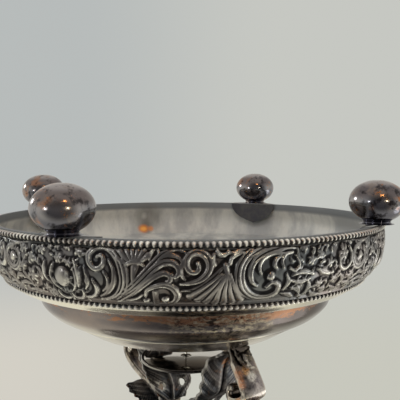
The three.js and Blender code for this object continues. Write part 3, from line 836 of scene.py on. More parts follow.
class Die:
    """A height map of one repeat, on which shapes are raised."""

    def __init__(self):
        degrees = np.arange(-REPEAT, REPEAT, REPEAT / DIE_COLUMNS)
        rise = (np.arange(DIE_ROWS) + 0.5) / DIE_ROWS
        self.x, self.y = np.meshgrid(degrees * DEGREE_MM, rise * BAND_MM)
        self.height = np.zeros_like(self.x)

    def raise_to(self, where, height):
        """Keeps the higher of what is there and the new shape."""
        self.height[where] = np.maximum(self.height[where], height)

    def window(self, points, reach):
        """The part of the map that a shape can touch."""
        low = points.min(0) - reach
        high = points.max(0) + reach
        columns = np.where((self.x[0] >= low[0]) & (self.x[0] <= high[0]))[0]
        rows = np.where((self.y[:, 0] >= low[1]) & (self.y[:, 0] <= high[1]))[0]
        return np.ix_(rows, columns)

    def stroke(self, places, widths, height, reeds=1):
        """A raised band along a curve; reeds splits it into fine strands."""
        path = smooth_path(np.array(places) * (DEGREE_MM, BAND_MM), 8 * len(places))
        half = np.interp(np.linspace(0, 1, len(path)), np.linspace(0, 1, len(widths)), widths)
        where = self.window(path, max(widths))
        x, y = self.x[where], self.y[where]
        best = np.full(x.shape, -1.0)
        across = np.zeros(x.shape)
        for a, b, wide, next_wide in zip(path, path[1:], half, half[1:]):
            run = b - a
            size = math.hypot(*run)
            along = np.clip(((x - a[0]) * run[0] + (y - a[1]) * run[1]) / size**2, 0, 1)
            dx, dy = x - a[0] - along * run[0], y - a[1] - along * run[1]
            width = wide + (next_wide - wide) * along
            reach = 1 - np.hypot(dx, dy) / width
            nearer = reach > best
            best = np.where(nearer, reach, best)
            across = np.where(nearer, (dx * run[1] - dy * run[0]) / size / width, across)
        body = np.sqrt(np.clip(1 - (1 - np.clip(best, 0, 1)) ** 2, 0, 1))
        strand = np.sin(math.pi * reeds * (np.clip(across, -1, 1) + 1) / 2) ** 2
        shape = height * body * (0.5 + 0.5 * strand if reeds > 1 else 1)
        self.raise_to(where, np.where(best > 0, shape, 0))

    def pearl(self, place, radius, height, tall=1.0):
        """A round or upright oval boss."""
        centre = np.array(place) * (DEGREE_MM, BAND_MM)
        where = self.window(centre[None], radius * max(tall, 1))
        away = np.hypot(self.x[where] - centre[0], (self.y[where] - centre[1]) / tall) / radius
        self.raise_to(where, height * np.sqrt(np.clip(1 - away**2, 0, 1)))

    def rosette(self, place, radius, petals=5, height=0.9):
        """A small flower with a pearl in its middle."""
        centre = np.array(place) * (DEGREE_MM, BAND_MM)
        where = self.window(centre[None], radius)
        x, y = self.x[where] - centre[0], self.y[where] - centre[1]
        wave = np.abs(np.cos(np.arctan2(y, x) * petals / 2))
        away = np.hypot(x, y) / (radius * (0.62 + 0.38 * wave))
        leaf = np.sqrt(np.clip(1 - away**2, 0, 1)) * np.clip(away * 2.2, 0.25, 1)
        self.raise_to(where, height * leaf * (0.55 + 0.45 * wave))
        self.pearl(place, radius * 0.3, height * 0.95)

    def folded(self):
        """One repeat. Shapes that run past its end come in at its start."""
        return np.maximum(self.height[:, :DIE_COLUMNS], self.height[:, DIE_COLUMNS:])

    def report(self, part):
        """Prints how much of the repeat is raised so far."""
        print(f"die with {part}: {np.mean(self.folded() > 0):.0%} of the repeat is raised")


# %% [markdown]
# ### Scrolls, plume and shell
# The middle of the repeat, from the ring scroll on the photograph's left to the
# great scroll on its right. The first number of a place is degrees from the
# middle of the photographed side, and the second runs from the rim to the upper
# beads. After the places come the half widths along the stroke in millimetres,
# its height and its number of strands.

# %% Ring scroll
die = Die()
die.stroke([(-17.4, .112), (-15.6, .16), (-14.1, .25), (-13.3, .36), (-13.1, .48), (-13.8, .6),
            (-15.3, .7), (-17.3, .76), (-19.6, .785)], (1.2, 1.7, 1.9, 1.7, 1.3, .5), 1.1, 3)
die.stroke([(-15.6, .14), (-17.6, .115), (-19.6, .14), (-21, .22), (-20.9, .31), (-19.6, .37),
            (-18.2, .345), (-17.6, .275), (-18.2, .22), (-19.2, .24)], (1.4, 1.2, 1.1, 1.0, .8, .5),
           1.05, 2)
die.stroke([(-16.5, .27), (-15.5, .36), (-15.3, .47), (-16.1, .58), (-17.8, .68), (-19.6, .74)],
           (.3, 1.0, 1.1, .4), .8, 2)
die.stroke([(-17.7, .4), (-16.9, .48), (-17.1, .57), (-18.6, .65)], (.3, .8, .3), .7)
die.stroke([(-20.5, .5), (-19.8, .6), (-20.3, .69), (-21.6, .745), (-23.3, .76)],
           (.3, 1.0, .9, .4), 1.0)
die.stroke([(-22.4, .36), (-21.8, .46), (-21.9, .56), (-22.8, .65)], (.3, .9, .3), .7, 2)
die.stroke([(-24.9, .28), (-24.1, .39), (-23.9, .5), (-24.3, .61)], (.3, 1.1, .4), .95)
die.stroke([(-23.6, .66), (-23.8, .745), (-24.9, .8), (-26.4, .79), (-27.1, .73)],
           (.3, 1.0, .8, .3), .95)
die.stroke([(-31, .71), (-30.7, .79), (-29.6, .83), (-28.2, .82)], (.3, .9, .3), .85)
die.report("ring scroll")

# %% Fan and plume
FAN_RIBS = (((-14.5, .245), (-12.1, .31)), ((-13.9, .165), (-11.8, .29)), ((-12.7, .12), (-11.4, .275)),
            ((-11.3, .1), (-11, .27)), ((-9.9, .105), (-10.6, .275)), ((-8.7, .14), (-10.3, .285)),
            ((-7.9, .2), (-10, .3)))
for top, root in FAN_RIBS:
    die.stroke([root, top], (.45, 1.15), .9)
    die.pearl(top, 1.0, .95)
die.stroke([(-7.6, .25), (-7.2, .17), (-6.6, .125), (-5.8, .13), (-5.7, .175)], (.4, .7, .7, .4), .9)
die.stroke([(-12.8, .315), (-11.3, .28), (-9.8, .285), (-8.7, .32)], (.4, .9, .4), .95)
die.stroke([(-10.8, .33), (-11.1, .43), (-11.4, .53)], (1.3, 1.0, .4), .75)
die.stroke([(-17.4, .765), (-14.7, .67), (-12, .56), (-9.4, .43), (-7.2, .31), (-5.2, .2), (-3.4, .145),
            (-1.6, .13), (-.2, .165)], (.4, .9, 1.1, 1.3, 1.0, .5), .95, 2)
die.stroke([(-15.8, .765), (-12.5, .63), (-9.4, .48), (-7, .36), (-5, .29), (-3.2, .275), (-1.9, .315),
            (-1.5, .385), (-2.2, .435), (-3, .41)], (.4, .9, 1.2, 1.4, 1.1, .6), 1.05, 2)
die.stroke([(-14.8, .78), (-11.5, .66), (-8.6, .52), (-6.4, .43), (-4.7, .395), (-3.5, .42),
            (-3.3, .475), (-4, .49)], (.3, .8, 1.1, 1.1, .6), 1.05, 2)
die.stroke([(-6.4, .3), (-4.6, .215), (-2.8, .2), (-1.2, .24), (-.6, .32)], (.3, .8, .4), .7)
die.stroke([(-15.8, .81), (-13, .775), (-10.8, .735), (-9.4, .67)], (.3, .7, .4), .75)
die.report("fan and plume")

# %% Middle scrolls
die.stroke([(-8.9, .7), (-8.4, .61), (-6.8, .555), (-4.6, .53), (-2.9, .565), (-2, .645), (-2.1, .73),
            (-3.1, .79), (-4.5, .785)], (.5, .9, 1.2, 1.4, 1.2, .7), 1.1, 2)
die.pearl((-8.9, .765), 1.15, 1.2)
die.pearl((-4.6, .735), 1.35, 1.3)
die.stroke([(-6.8, .63), (-6.7, .79)], (.9, 1.1), .55)
die.stroke([(-1.2, .52), (.8, .505), (2.8, .47), (4.3, .4), (4.9, .31), (4.3, .22), (2.8, .165),
            (1.2, .175), (.2, .235), (.1, .31), (.9, .375), (2, .385), (2.7, .34), (2.4, .29)],
           (.4, 1, 1.3, 1.5, 1.4, 1.2, .9, .6), 1.1, 2)
die.stroke([(7.5, .34), (5.7, .44), (3.5, .535), (1.3, .595), (-1, .61)], (.5, 1.2, 1.0, .4), .9, 2)
die.stroke([(-.4, .22), (-1, .31), (-1, .41), (-.2, .47)], (.3, .8, .3), .75)
die.stroke([(8.7, .125), (8.8, .17), (7.7, .2), (6.6, .17), (6.5, .115), (7.3, .085)],
           (.5, .8, .8, .5), .95)
die.stroke([(9, .18), (10.4, .17), (11.8, .135), (13.2, .12), (14.1, .15), (13.3, .185)],
           (.5, .9, .9, .4), .9)
die.stroke([(9.2, .29), (9.5, .235), (10.6, .2), (12.2, .18)], (.7, .8, .3), .95)
die.stroke([(5.7, .19), (5.5, .26), (6.1, .31)], (.5, .8, .4), .8)
die.stroke([(11.6, .25), (10.8, .3), (10.3, .36)], (.4, .8, .3), .85)
die.report("middle scrolls")

# %% Fluted shell
SHELL_FLUTES = (((7.5, .4), (4.6, .52), (.9, .68)), ((7.8, .41), (5.4, .56), (2.6, .735)),
                ((8.1, .42), (6.2, .6), (4.5, .765)), ((8.4, .42), (7.1, .6), (6.5, .785)),
                ((8.7, .42), (8.3, .6), (8.5, .79)), ((9, .42), (9.4, .6), (10.4, .785)),
                ((9.3, .41), (10.4, .58), (12.2, .765)))
for flute in SHELL_FLUTES:
    die.stroke(flute, (.35, .85, 1.55), 1.0)
die.stroke([(8.2, .31), (8.5, .4), (8.7, .46)], (.9, 1.1, .4), .9)
die.report("fluted shell")

# %% Great scroll
die.stroke([(26, .12), (23, .095), (19.6, .095), (16.2, .13), (13.4, .2), (11.7, .3), (11.2, .42),
            (11.6, .54), (12.8, .64), (14.6, .715), (16.8, .75), (18.9, .735), (20.4, .675),
            (20.6, .595), (19.7, .545), (18.4, .545), (17.7, .59)],
           (.4, .9, 1.3, 1.6, 1.9, 1.9, 1.7, 1.4, 1.1, .7), 1.2, 3)
die.stroke([(24.4, .16), (20.8, .15), (17.4, .185), (14.9, .255), (13.8, .34), (13.6, .43), (14.2, .52),
            (15.4, .575)], (.3, 1.0, 1.2, 1.3, 1.0, .4), 1.05, 2)
die.stroke([(22, .215), (19, .2), (16.9, .235), (15.8, .3), (15.7, .38), (16.2, .43)],
           (.3, .8, 1.0, .7, .3), .9)
die.pearl((18.3, .455), 1.5, 1.5)
die.stroke([(20.6, .24), (19.4, .27), (19.1, .33), (19.8, .375)], (.3, .9, .9, .3), .9)
die.stroke([(21.4, .37), (20.9, .29), (21.8, .22), (23.5, .205)], (.4, .8, .4), .85)
die.stroke([(24.6, .27), (25.3, .35), (24.2, .41), (22.9, .38)], (.4, .8, .4), .8)
die.report("great scroll")

# %% [markdown]
# ### Posy, bud and flowers
# Between the scrolls the die is packed with small flowers and leaves: a posy
# below each bracket, and a large bud with flowers round it above each foot.
# Each flower is a place, a radius and a number of petals.

# %% Flowers of the repeat
FLOWERS = (((26.8, .13), 2.0, 6), ((31.2, .25), 1.8, 5), ((38.9, .27), 2.9, 6), ((28.6, .31), 1.8, 5),
           ((34.3, .36), 1.9, 5), ((31.9, .62), 2.1, 5), ((36.6, .58), 1.9, 5), ((34.4, .74), 1.7, 5),
           ((44.8, .2), 2.1, 5), ((43, .55), 2.1, 5), ((33, .135), 1.5, 5), ((36.2, .13), 1.4, 5),
           ((41.6, .125), 1.4, 5), ((-37.5, .53), 2.9, 6), ((-33.8, .2), 2.0, 5),
           ((-37.2, .3), 1.9, 5), ((-40.4, .22), 1.9, 5), ((-23.5, .19), 1.9, 5),
           ((-26.2, .14), 1.6, 5), ((-29.2, .14), 1.6, 5), ((-31.3, .15), 1.4, 5),
           ((-40.6, .42), 1.8, 5), ((-34, .68), 1.9, 5), ((-28.9, .28), 1.9, 6), ((-26.1, .33), 1.5, 5))
for place, radius, petals in FLOWERS:
    die.rosette(place, radius, petals)
die.report("flowers")

# %% Posy and bud
die.stroke([(37.4, .31), (37.8, .42), (39.8, .47), (41.6, .41), (41.9, .3), (41, .21)],
           (.6, .9, .9, .6), .95)
die.pearl((-28.2, .5), 3.0, 1.6, 1.2)
die.stroke([(-30.8, .36), (-31.5, .48), (-31, .6), (-29.6, .68)], (.2, .6, .6, .2), .85)
die.stroke([(-25.2, .38), (-24.7, .5), (-25.3, .62), (-26.8, .7)], (.2, .6, .6, .2), .85)
die.stroke([(-32.8, .33), (-33.3, .43), (-33, .53), (-32, .58)], (.3, 1.0, .8, .3), .95)
die.stroke([(-44.2, .2), (-46.4, .24), (-47.2, .34), (-46.2, .44), (-44.2, .48), (-42.2, .43),
            (-41.6, .34), (-42.3, .25)], (.8, 1.2, 1.2, .8), 1.0, 2)
die.pearl((-44.3, .335), 1.7, 1.2)
die.stroke([(-50, .13), (-46.6, .115), (-43.4, .15), (-40.6, .14), (-38, .11)],
           (.3, 1.1, 1.1, .4), .85, 2)
SPRAYS = ([(23.8, .47), (26.6, .435), (29.8, .48)], [(23.4, .53), (26, .56), (28.9, .53)],
          [(22.2, .45), (22.9, .55), (22.1, .66)], [(28.2, .55), (29.2, .65), (28.8, .77)],
          [(24, .63), (26.2, .68), (27.4, .77)], [(22, .71), (24.2, .75), (26, .81)],
          [(30.4, .42), (33, .47), (35.4, .5)], [(38.6, .53), (40.2, .61), (39.4, .7)],
          [(30.2, .73), (31.8, .8), (34, .83)], [(36.6, .7), (38.6, .76), (41, .78)],
          [(41, .68), (43.6, .7), (46, .76)], [(43.6, .33), (45, .41), (46.6, .45)],
          [(-44.6, .6), (-42.6, .56), (-40.6, .6)], [(-44.4, .7), (-41.6, .665), (-38.6, .69)],
          [(-42, .79), (-38.8, .77), (-35.6, .79)], [(-32.2, .7), (-33.6, .77), (-32.4, .83)],
          [(-35.6, .42), (-34.4, .48), (-34.6, .58)], [(-41, .5), (-40, .56), (-38.9, .66)],
          [(-48.4, .56), (-46.4, .64), (-47, .76)])
for spray in SPRAYS:
    die.stroke(spray, (.4, 1.1, .4), .85, 2)
die.report("posy and bud")

# %% Small leaves between the flowers
SEED = 11
SMALL_LEAVES = 130
PACKED_PARTS = ((-45, -21.5), (23, 45))
PACKED_RISE = (0.09, 0.84)
luck = np.random.default_rng(SEED)
for first, last in PACKED_PARTS:
    for _ in range(SMALL_LEAVES):
        middle = np.array((luck.uniform(first, last), luck.uniform(*PACKED_RISE)))
        angle = luck.uniform(0, math.tau)
        cosine, sine = math.cos(angle), math.sin(angle)
        ahead = luck.uniform(0.7, 1.3) * np.array((cosine / DEGREE_MM, sine / BAND_MM))
        aside = luck.uniform(-0.5, 0.5) * np.array((-sine / DEGREE_MM, cosine / BAND_MM))
        places = [middle - ahead, middle + aside, middle + ahead]
        die.stroke(places, (0.2, 0.55, 0.2), luck.uniform(0.4, 0.7))
die.report("small leaves")

# %% [markdown]
# ### Hollows and crests
# Where a cell is higher than the mean of its neighbours it is on a crest, and
# where it is lower it is in a hollow. The difference tells the finish where
# polishing reached and where tarnish stayed.

# %% Hollows and crests
CREST_GAIN = 3.0


def softened(table, reach):
    """Averages each cell with its neighbours; the columns run round in a ring."""
    for axis in (0, 1):
        pads = [(reach, reach) if axis == k else (0, 0) for k in (0, 1)]
        padded = np.pad(table, pads, mode="wrap" if axis else "edge")
        sums = np.cumsum(padded, axis=axis)
        first = np.take(sums, range(2 * reach, sums.shape[axis]), axis=axis)
        before = np.take(sums, range(0, sums.shape[axis] - 2 * reach), axis=axis)
        table = (first - before) / (2 * reach)
    return table


DIE_HEIGHT = die.folded()
DIE_MEAN = softened(softened(DIE_HEIGHT, 2), 3)
DIE_CREST = np.clip((DIE_HEIGHT - DIE_MEAN) * CREST_GAIN, -1, 1)
print("die:", DIE_HEIGHT.shape, "highest shape in mm:", round(float(DIE_HEIGHT.max()), 2))

# %% [markdown]
# ## Relief borders
# A border is a sheet ring. Its outline is spun in very many steps, so that there
# is a vertex for every third to half of a millimetre, and the outer vertices
# are then pressed along the face's normal by the die. The height is also stored
# on each vertex, because the finish needs it: hollows are black and crests are
# bright.

# %% Press the die into a ring
RING_STEPS = 1440
SINK = 0.55
LIFT = 0.85
FULL_HEIGHT = 1.1
FACE_REACH = 0.08
EDGE_FADE = 25


def die_at(table, degrees, rise):
    """Reads the die between its cells."""
    column = (degrees % REPEAT) / REPEAT * DIE_COLUMNS
    row = np.clip(rise * DIE_ROWS - 0.5, 0, DIE_ROWS - 1.001)
    left, low = column.astype(int) % DIE_COLUMNS, row.astype(int)
    right, high = (left + 1) % DIE_COLUMNS, low + 1
    u, v = column % 1, row % 1
    return ((table[low, left] * (1 - u) + table[low, right] * u) * (1 - v)
            + (table[high, left] * (1 - u) + table[high, right] * u) * v)


def press(piece, face, first_degree, low_rise, high_rise):
    """Presses the die into the vertices that lie on the face line."""
    mesh = piece.data
    place = vertex_table(mesh, "co") / MM
    radius = np.hypot(place[:, 0], place[:, 1])
    run = np.gradient(face, axis=0)
    run /= np.linalg.norm(run, axis=1)[:, None]
    share = np.linspace(0, 1, len(face))
    on_face = np.abs(radius - np.interp(place[:, 2], face[:, 1], face[:, 0])) < FACE_REACH
    on_face &= (place[:, 2] >= face[0, 1] - 0.01) & (place[:, 2] <= face[-1, 1] + 0.01)
    where = np.interp(place[:, 2], face[:, 1], share)
    rise = low_rise + (high_rise - low_rise) * where
    degrees = first_degree - np.degrees(np.arctan2(place[:, 1], place[:, 0]))
    height = np.where(on_face, die_at(DIE_HEIGHT, degrees, rise), 0)
    crest = np.where(on_face, die_at(DIE_CREST, degrees, rise), 0)
    edge = np.clip(np.minimum(where, 1 - where) * EDGE_FADE, 0, 1)
    move = np.where(on_face, (LIFT * height - SINK) * edge, 0)
    out_r = np.interp(where, share, run[:, 1])
    out_z = np.interp(where, share, -run[:, 0])
    moved = place.copy()
    moved[:, 0] += move * out_r * place[:, 0] / radius
    moved[:, 1] += move * out_r * place[:, 1] / radius
    moved[:, 2] += move * out_z
    mesh.vertices.foreach_set("co", (moved * MM).astype(np.float32).ravel())
    paint(mesh, "relief", np.where(on_face, height / FULL_HEIGHT, 0.5))
    paint(mesh, "crest", crest)
    paint(mesh, "inside", np.where(on_face, 0.0, 1.0))
    mesh.update()
    print(piece.name, "vertices pressed:", int(on_face.sum()))


# %% Base border
FACE_ROWS = 54
PHOTO_DEGREE = -58.4
FACE_LOW_Z = RIM_Z + 2.3
FOLD_Z = RIM_Z + 3.2
behind_bead = LOWER_BEAD[0] - BEAD_R - GAP
band_face = smooth_path([(behind_bead, FACE_LOW_Z)] + BAND_FACE, FACE_ROWS)
band_inside = beside(smooth_path(BAND_FACE, 6), SHEET)[::-1]
outline = [(behind_bead, RIM_Z)] + as_pairs(band_face)
outline += [(BAND_FLANGE_R, BAND_TOP_Z), (BAND_FLANGE_R, BAND_TOP_Z - SHEET)]
outline += as_pairs(band_inside[1:-1])
outline += [(behind_bead - SHEET, FOLD_Z), (behind_bead - SHEET, RIM_Z)]
base_relief = keep(turned(outline, RING_STEPS), "base_relief", RELIEF, "base_border")
press(base_relief, band_face, PHOTO_DEGREE, 0.09, 0.855)

# %% [markdown]
# ## Bead wires
# The borders are edged with wire rolled to look like a string of beads. One
# bead of a few dozen faces is spun round as separate copies, and a thin wire
# runs through them, as on the real strip.

# %% Bead wires
BEAD_LENGTH = 0.98


def bead_wire(name, ring, radius, pitch, stands_for, rubbed_and_lit_side):
    """The last argument is 1 where a painted highlight brightens the upper side of the beads and -1
    where it brightens the lower side.
    """
    place_r, place_z = ring
    doublings = 3
    parts = 2**doublings
    count = round(math.tau * place_r / pitch / parts)
    step = math.tau / count / parts
    bm = bmesh.new()
    crown = bm.verts.layers.float.new("crown")
    bmesh.ops.create_uvsphere(bm, u_segments=8, v_segments=6, radius=1.0)
    bmesh.ops.rotate(bm, cent=(0, 0, 0), matrix=Matrix.Rotation(math.pi / 2, 3, "X"), verts=bm.verts)
    for vert in bm.verts:
        # The crown is the rubbed middle of the bead; the last term is a painted highlight on one side.
        vert[crown] = 1 - abs(vert.co.y) + 0.45 * rubbed_and_lit_side * vert.co.z
    bmesh.ops.scale(bm, vec=(radius, pitch * BEAD_LENGTH / 2, radius), verts=bm.verts)
    bmesh.ops.translate(bm, vec=(place_r, 0, place_z), verts=bm.verts)
    bmesh.ops.spin(bm, geom=bm.verts[:] + bm.edges[:] + bm.faces[:], cent=(0, 0, 0), axis=(0, 0, 1),
                   dvec=(0, 0, 0), angle=step * (count - 1), steps=count - 1, use_duplicate=True)
    copied_round(bm, doublings)
    core = [(place_r + 0.5 * radius * math.cos(a), place_z + 0.5 * radius * math.sin(a))
            for a in np.linspace(0, math.tau, 8, endpoint=False)]
    joined(bm, turned(core, 160))
    keep(bm, name, BEAD, stands_for, crease=60.0)


bead_wire("lower_beads", LOWER_BEAD, BEAD_R, BEAD_PITCH, "lower_bead_wire", -1)
bead_wire("upper_beads", UPPER_BEAD, BEAD_R, BEAD_PITCH, "upper_bead_wire", 1)
bead_wire("basket_foot_beads", BASKET_FOOT_BEAD, BASKET_BEAD_R, BASKET_BEAD_PITCH,
          "basket_foot_bead", -1)
bead_wire("basket_rim_beads", BASKET_RIM_BEAD, BASKET_BEAD_R, BASKET_BEAD_PITCH,
          "basket_rim_bead", 1)

# %% [markdown]
# ## Feet
# Each foot is a flattened ball spun from sheet, with a worn flat where it
# stands, on a short flared neck. A pointed plate inside the rim carries it, and
# the plate's lower edge is bent out under the rim, on top of the neck.

# %% Ball feet
NECK_OUTLINE = [(4.85, 14.6), (4.8, 15.0), (5.3, 15.4), (6.1, 15.6), (0.0, 15.62)]


def ball_outline():
    """The ball from its worn flat up to the neck, and the neck with its flare."""
    flat = -math.asin(BALL_CENTRE_Z / BALL_HALF_HEIGHT)
    neck = math.acos(NECK_R / BALL_R)
    points = [(0.0, 0.0)]
    for angle in np.linspace(flat, neck, 28):
        height = BALL_CENTRE_Z + BALL_HALF_HEIGHT * math.sin(angle)
        points.append((BALL_R * math.cos(angle), max(height, 0.0)))
    return points + NECK_OUTLINE


def standing_at(bm, degrees, radius=0.0):
    """Moves a shape out from the axis and round to an angle."""
    turn = Matrix.Rotation(math.radians(degrees), 3, "Z")
    bmesh.ops.translate(bm, vec=(radius, 0, 0), verts=bm.verts)
    bmesh.ops.rotate(bm, cent=(0, 0, 0), matrix=turn, verts=bm.verts)
    return bm


for number, degrees in enumerate(FOOT_ANGLES, 1):
    ball = standing_at(turned(ball_outline(), 64, closed=False), degrees, FOOT_RING_R)
    keep(ball, f"ball_{number}", BALL, f"ball_foot_{number}", crease=60.0)

# %% Foot plates
SHIELD = [(1.0, 0.0), (1.0, 0.12), (0.95, 0.3), (0.82, 0.52), (0.6, 0.72), (0.34, 0.86), (0.12, 0.95),
          (0.02, 1.0)]
LIP_BENDS = ((0.4, -0.2), (1.8, 0.0), (1.3, 0.0))
LIP_SHEET = 0.35


def extruded(bm, edges):
    """Extrudes edges, and gives the new vertices and the new edges between them."""
    grown = bmesh.ops.extrude_edge_only(bm, edges=edges)["geom"]
    verts = [part for part in grown if isinstance(part, bmesh.types.BMVert)]
    edges = [part for part in grown if isinstance(part, bmesh.types.BMEdge)]
    ends = set(verts)
    return verts, [edge for edge in edges if ends.issuperset(edge.verts)]


def foot_plate():
    """A pointed shield bent to the inside of the rim, with a lip under the rim."""
    bm = bmesh.new()
    bmesh.ops.create_grid(bm, x_segments=20, y_segments=16, size=1.0)
    widths, heights = zip(*SHIELD)
    radius = TAB_OUTER_R - TAB_THICKNESS / 2
    for vert in bm.verts:
        across, up = vert.co.x, (vert.co.y + 1) / 2
        side = across * TAB_WIDTH / 2 * np.interp(up, heights, widths)
        vert.co = (math.sqrt(radius**2 - side**2), side, RIM_Z + 0.1 + TAB_HEIGHT * up)
    low = min(vert.co.z for vert in bm.verts)
    edges = [e for e in bm.edges if e.is_boundary and all(abs(v.co.z - low) < 1e-4 for v in e.verts)]
    for step_out, drop in LIP_BENDS:
        fresh, edges = extruded(bm, edges)
        for vert in fresh:
            taper = max(0.05, 1 - (2 * vert.co.y / TAB_WIDTH) ** 2)
            vert.co += vert.co.xy.normalized().to_3d() * step_out * taper + Vector((0, 0, drop * taper))
    bmesh.ops.recalc_face_normals(bm, faces=bm.faces)
    bmesh.ops.solidify(bm, geom=bm.faces[:], thickness=LIP_SHEET)
    return bm


for number, degrees in enumerate(FOOT_ANGLES, 1):
    plate = standing_at(foot_plate(), degrees)
    keep(plate, f"plate_{number}", TAB, f"foot_tab_{number}")

# %% [markdown]
# ## Dome
# The dome is spun from sheet: a sloping skirt inside the upper beads, a narrow
# ledge, the wall that rolls over into the shoulder, a small step with a fine
# raised line at its foot, and the flat top that the brackets stand on. Rings
# could be stacked for it, but one outline spun once leaves no seams.

# %% Dome
SKIRT = [(70.4, 37.6), (70.3, 38.7), (68.5, 40.6), (67.3, 41.0)]
WALL = [(62.4, 41.0), (60.3, 42.4), (59.8, 45.0), (58.9, 48.7), (56.3, 51.7), (53.8, 53.5), (51.8, 54.2),
        (50.7, 54.5)]
FINE_LINE = [(50.7, 54.9), (50.5, 55.25), (50.1, 55.45), (49.5, 55.5)]
STEP = [(49.2, 55.65), (47.5, 56.8), (45.5, 58.2), (43.2, 59.6), (41.0, 60.9), (38.6, 61.8),
        (36.4, DOME_TOP_Z)]
DOME_INSIDE = [(DOME_HOLE_R, 61.1), (36.6, 61.1), (41.6, 59.0), (46.2, 56.2), (51.6, 53.3),
               (54.9, 50.9), (57.2, 48.1), (58.2, 44.6), (59.0, 41.6), (61.4, 39.8), (67.1, 39.8),
               (69.1, 37.8), (69.1, 36.4), (70.4, 36.4)]
outline = curve(SKIRT, 12) + curve(WALL, 40) + FINE_LINE + curve(STEP, 14)
outline += [(DOME_HOLE_R, DOME_TOP_Z)] + DOME_INSIDE
keep(turned(outline, 192), "dome", DOME, "base_dome", crease=50.0)

# %% [markdown]
# ## Bridge disc
# A polished disc lies between the two brackets, and the centre bolt pulls it
# down. A lug on either side reaches to the bracket's leaf. The disc is spun,
# and the lugs are bevelled blocks, which is simpler than cutting both from one
# plate.

# %% Disc
DISC_LOW_Z = DISC_Z - 0.5
DISC_HIGH_Z = DISC_Z + 0.7
LUG_WIDTH = 8.0
LUG_THICKNESS = 0.9
LUG_ROOT = 15
LUG_REACH = 26.7


def bridge():
    """The disc, with a fine groove under its rim, and a lug on either side."""
    low, high = DISC_LOW_Z, DISC_HIGH_Z
    bm = turned([(2.3, low), (17.4, low), (17.8, low + 0.2), (18.3, low + 0.2), (DISC_R - 0.3, low),
                 (DISC_R, low + 0.3), (DISC_R, high - 0.3), (DISC_R - 0.4, high), (16.5, high + 0.2),
                 (2.3, high + 0.2)], 96)
    for side in (-1, 1):
        lug = bmesh.ops.create_cube(bm, size=1.0)["verts"]
        middle = (0, side * (LUG_ROOT + LUG_REACH) / 2, (low + high) / 2)
        bmesh.ops.scale(bm, vec=(LUG_WIDTH, LUG_REACH - LUG_ROOT, LUG_THICKNESS), verts=lug)
        bmesh.ops.translate(bm, vec=middle, verts=lug)
        edges = list({edge for vert in lug for edge in vert.link_edges})
        bmesh.ops.bevel(bm, geom=edges, offset=0.3, segments=2, profile=0.5, affect="EDGES", material=-1)
    return bm


keep(bridge(), "bridge", DISC, "bridge_disc")

# %% [markdown]
# ## Centre bolt
# The bolt pulls the disc down to the dome. The photograph shows no bolt in the
# gap between them, so its shank is turned down to a thin pin there.

# %% Centre bolt
BOLT_R = 2.0
PIN_R = 0.5
BOLT_LOW_Z = 53.5
BOLT_TOP_Z = 81.2
BOLT_HEAD = [(BOLT_R, 77.6), (4.2, 77.6), (4.2, 78.4), (3.2, 78.8), (3.0, 80.2), (2.0, BOLT_TOP_Z - 0.1)]
shank = [(0, BOLT_LOW_Z), (1.6, BOLT_LOW_Z), (BOLT_R, BOLT_LOW_Z + 0.5), (BOLT_R, DOME_TOP_Z - 0.4),
         (PIN_R, DOME_TOP_Z), (PIN_R, DISC_Z - 0.6), (BOLT_R, DISC_Z + 0.1)]
bolt = turned(shank + BOLT_HEAD + [(0, BOLT_TOP_Z)], 32, closed=False)
keep(bolt, "bolt", DISC, "centre_bolt")

# %% [markdown]
# ## Scroll brackets
# Each bracket is cast: a tongue that lies on the dome's top, a short strap that
# curls in on itself with a husk in its bend, and a long strap that sweeps in to
# the stem. A strap is a section with raised edges, carried along its centre
# line. The line lies in the plane y = 0 and is turned to its side of the stand
# at the end.

# %% Sweep a section along a line
STRAP_SECTION = [(0.0, 0.6), (0.4, 0.58), (0.62, 0.68), (0.76, 0.95), (0.88, 1.0), (0.98, 0.85),
                 (1.0, 0.6), (1.0, -0.6), (0.96, -0.85), (0.8, -1.0), (0.4, -1.06), (0.0, -1.08)]


def spread(sizes, count):
    """A few sizes spread evenly over a number of places."""
    return np.interp(np.linspace(0, 1, count), np.linspace(0, 1, len(sizes)), sizes)


def directions(line):
    """The direction of a line at each of its points."""
    run = np.gradient(line, axis=0)
    run /= np.linalg.norm(run, axis=1)[:, None]
    return run


def swept(bm, line, wide, thick, section=STRAP_SECTION):
    """Carries a section along a line in the plane y = 0. Wide and thick are lists
    of half sizes spread evenly along it. The line's left is the section's top."""
    wide = spread(wide, len(line))
    thick = spread(thick, len(line))
    run = directions(line)

    def section_at(k):
        ahead = Vector((run[k, 0], 0, run[k, 1]))
        left = Vector((-run[k, 1], 0, run[k, 0]))
        turn = Matrix((Vector((0, wide[k], 0)), left * thick[k], ahead)).transposed().to_4x4()
        return Matrix.Translation(Vector((line[k, 0], 0, line[k, 1]))) @ turn

    full = section + [(-a, b) for a, b in section[-2:0:-1]]
    ring = [bm.verts.new((a, b, 0)) for a, b in full]
    edges = [bm.edges.new(pair) for pair in zip(ring, ring[1:] + ring[:1])]
    before = section_at(0)
    bmesh.ops.transform(bm, matrix=before, verts=ring)
    bm.faces.new(ring)
    for k in range(1, len(line)):
        ring, edges = extruded(bm, edges)
        now = section_at(k)
        bmesh.ops.transform(bm, matrix=now @ before.inverted(), verts=ring)
        before = now
    bmesh.ops.contextual_create(bm, geom=edges)
    return bm


def rolled(bm, centre, radius, width):
    """A roll across a strap's end: a short bar with domed ends."""
    half = width / 2
    lower = [(0, -half), (radius * 0.5, -half), (radius * 0.85, -half + 0.35), (radius, -half + 0.9)]
    upper = [(r, -z) for r, z in lower[::-1]]
    bar = turned(lower + upper, 20, closed=False)
    bmesh.ops.rotate(bar, cent=(0, 0, 0), matrix=Matrix.Rotation(math.pi / 2, 3, "X"), verts=bar.verts)
    bmesh.ops.translate(bar, vec=(centre[0], 0, centre[1]), verts=bar.verts)
    return joined(bm, bar)


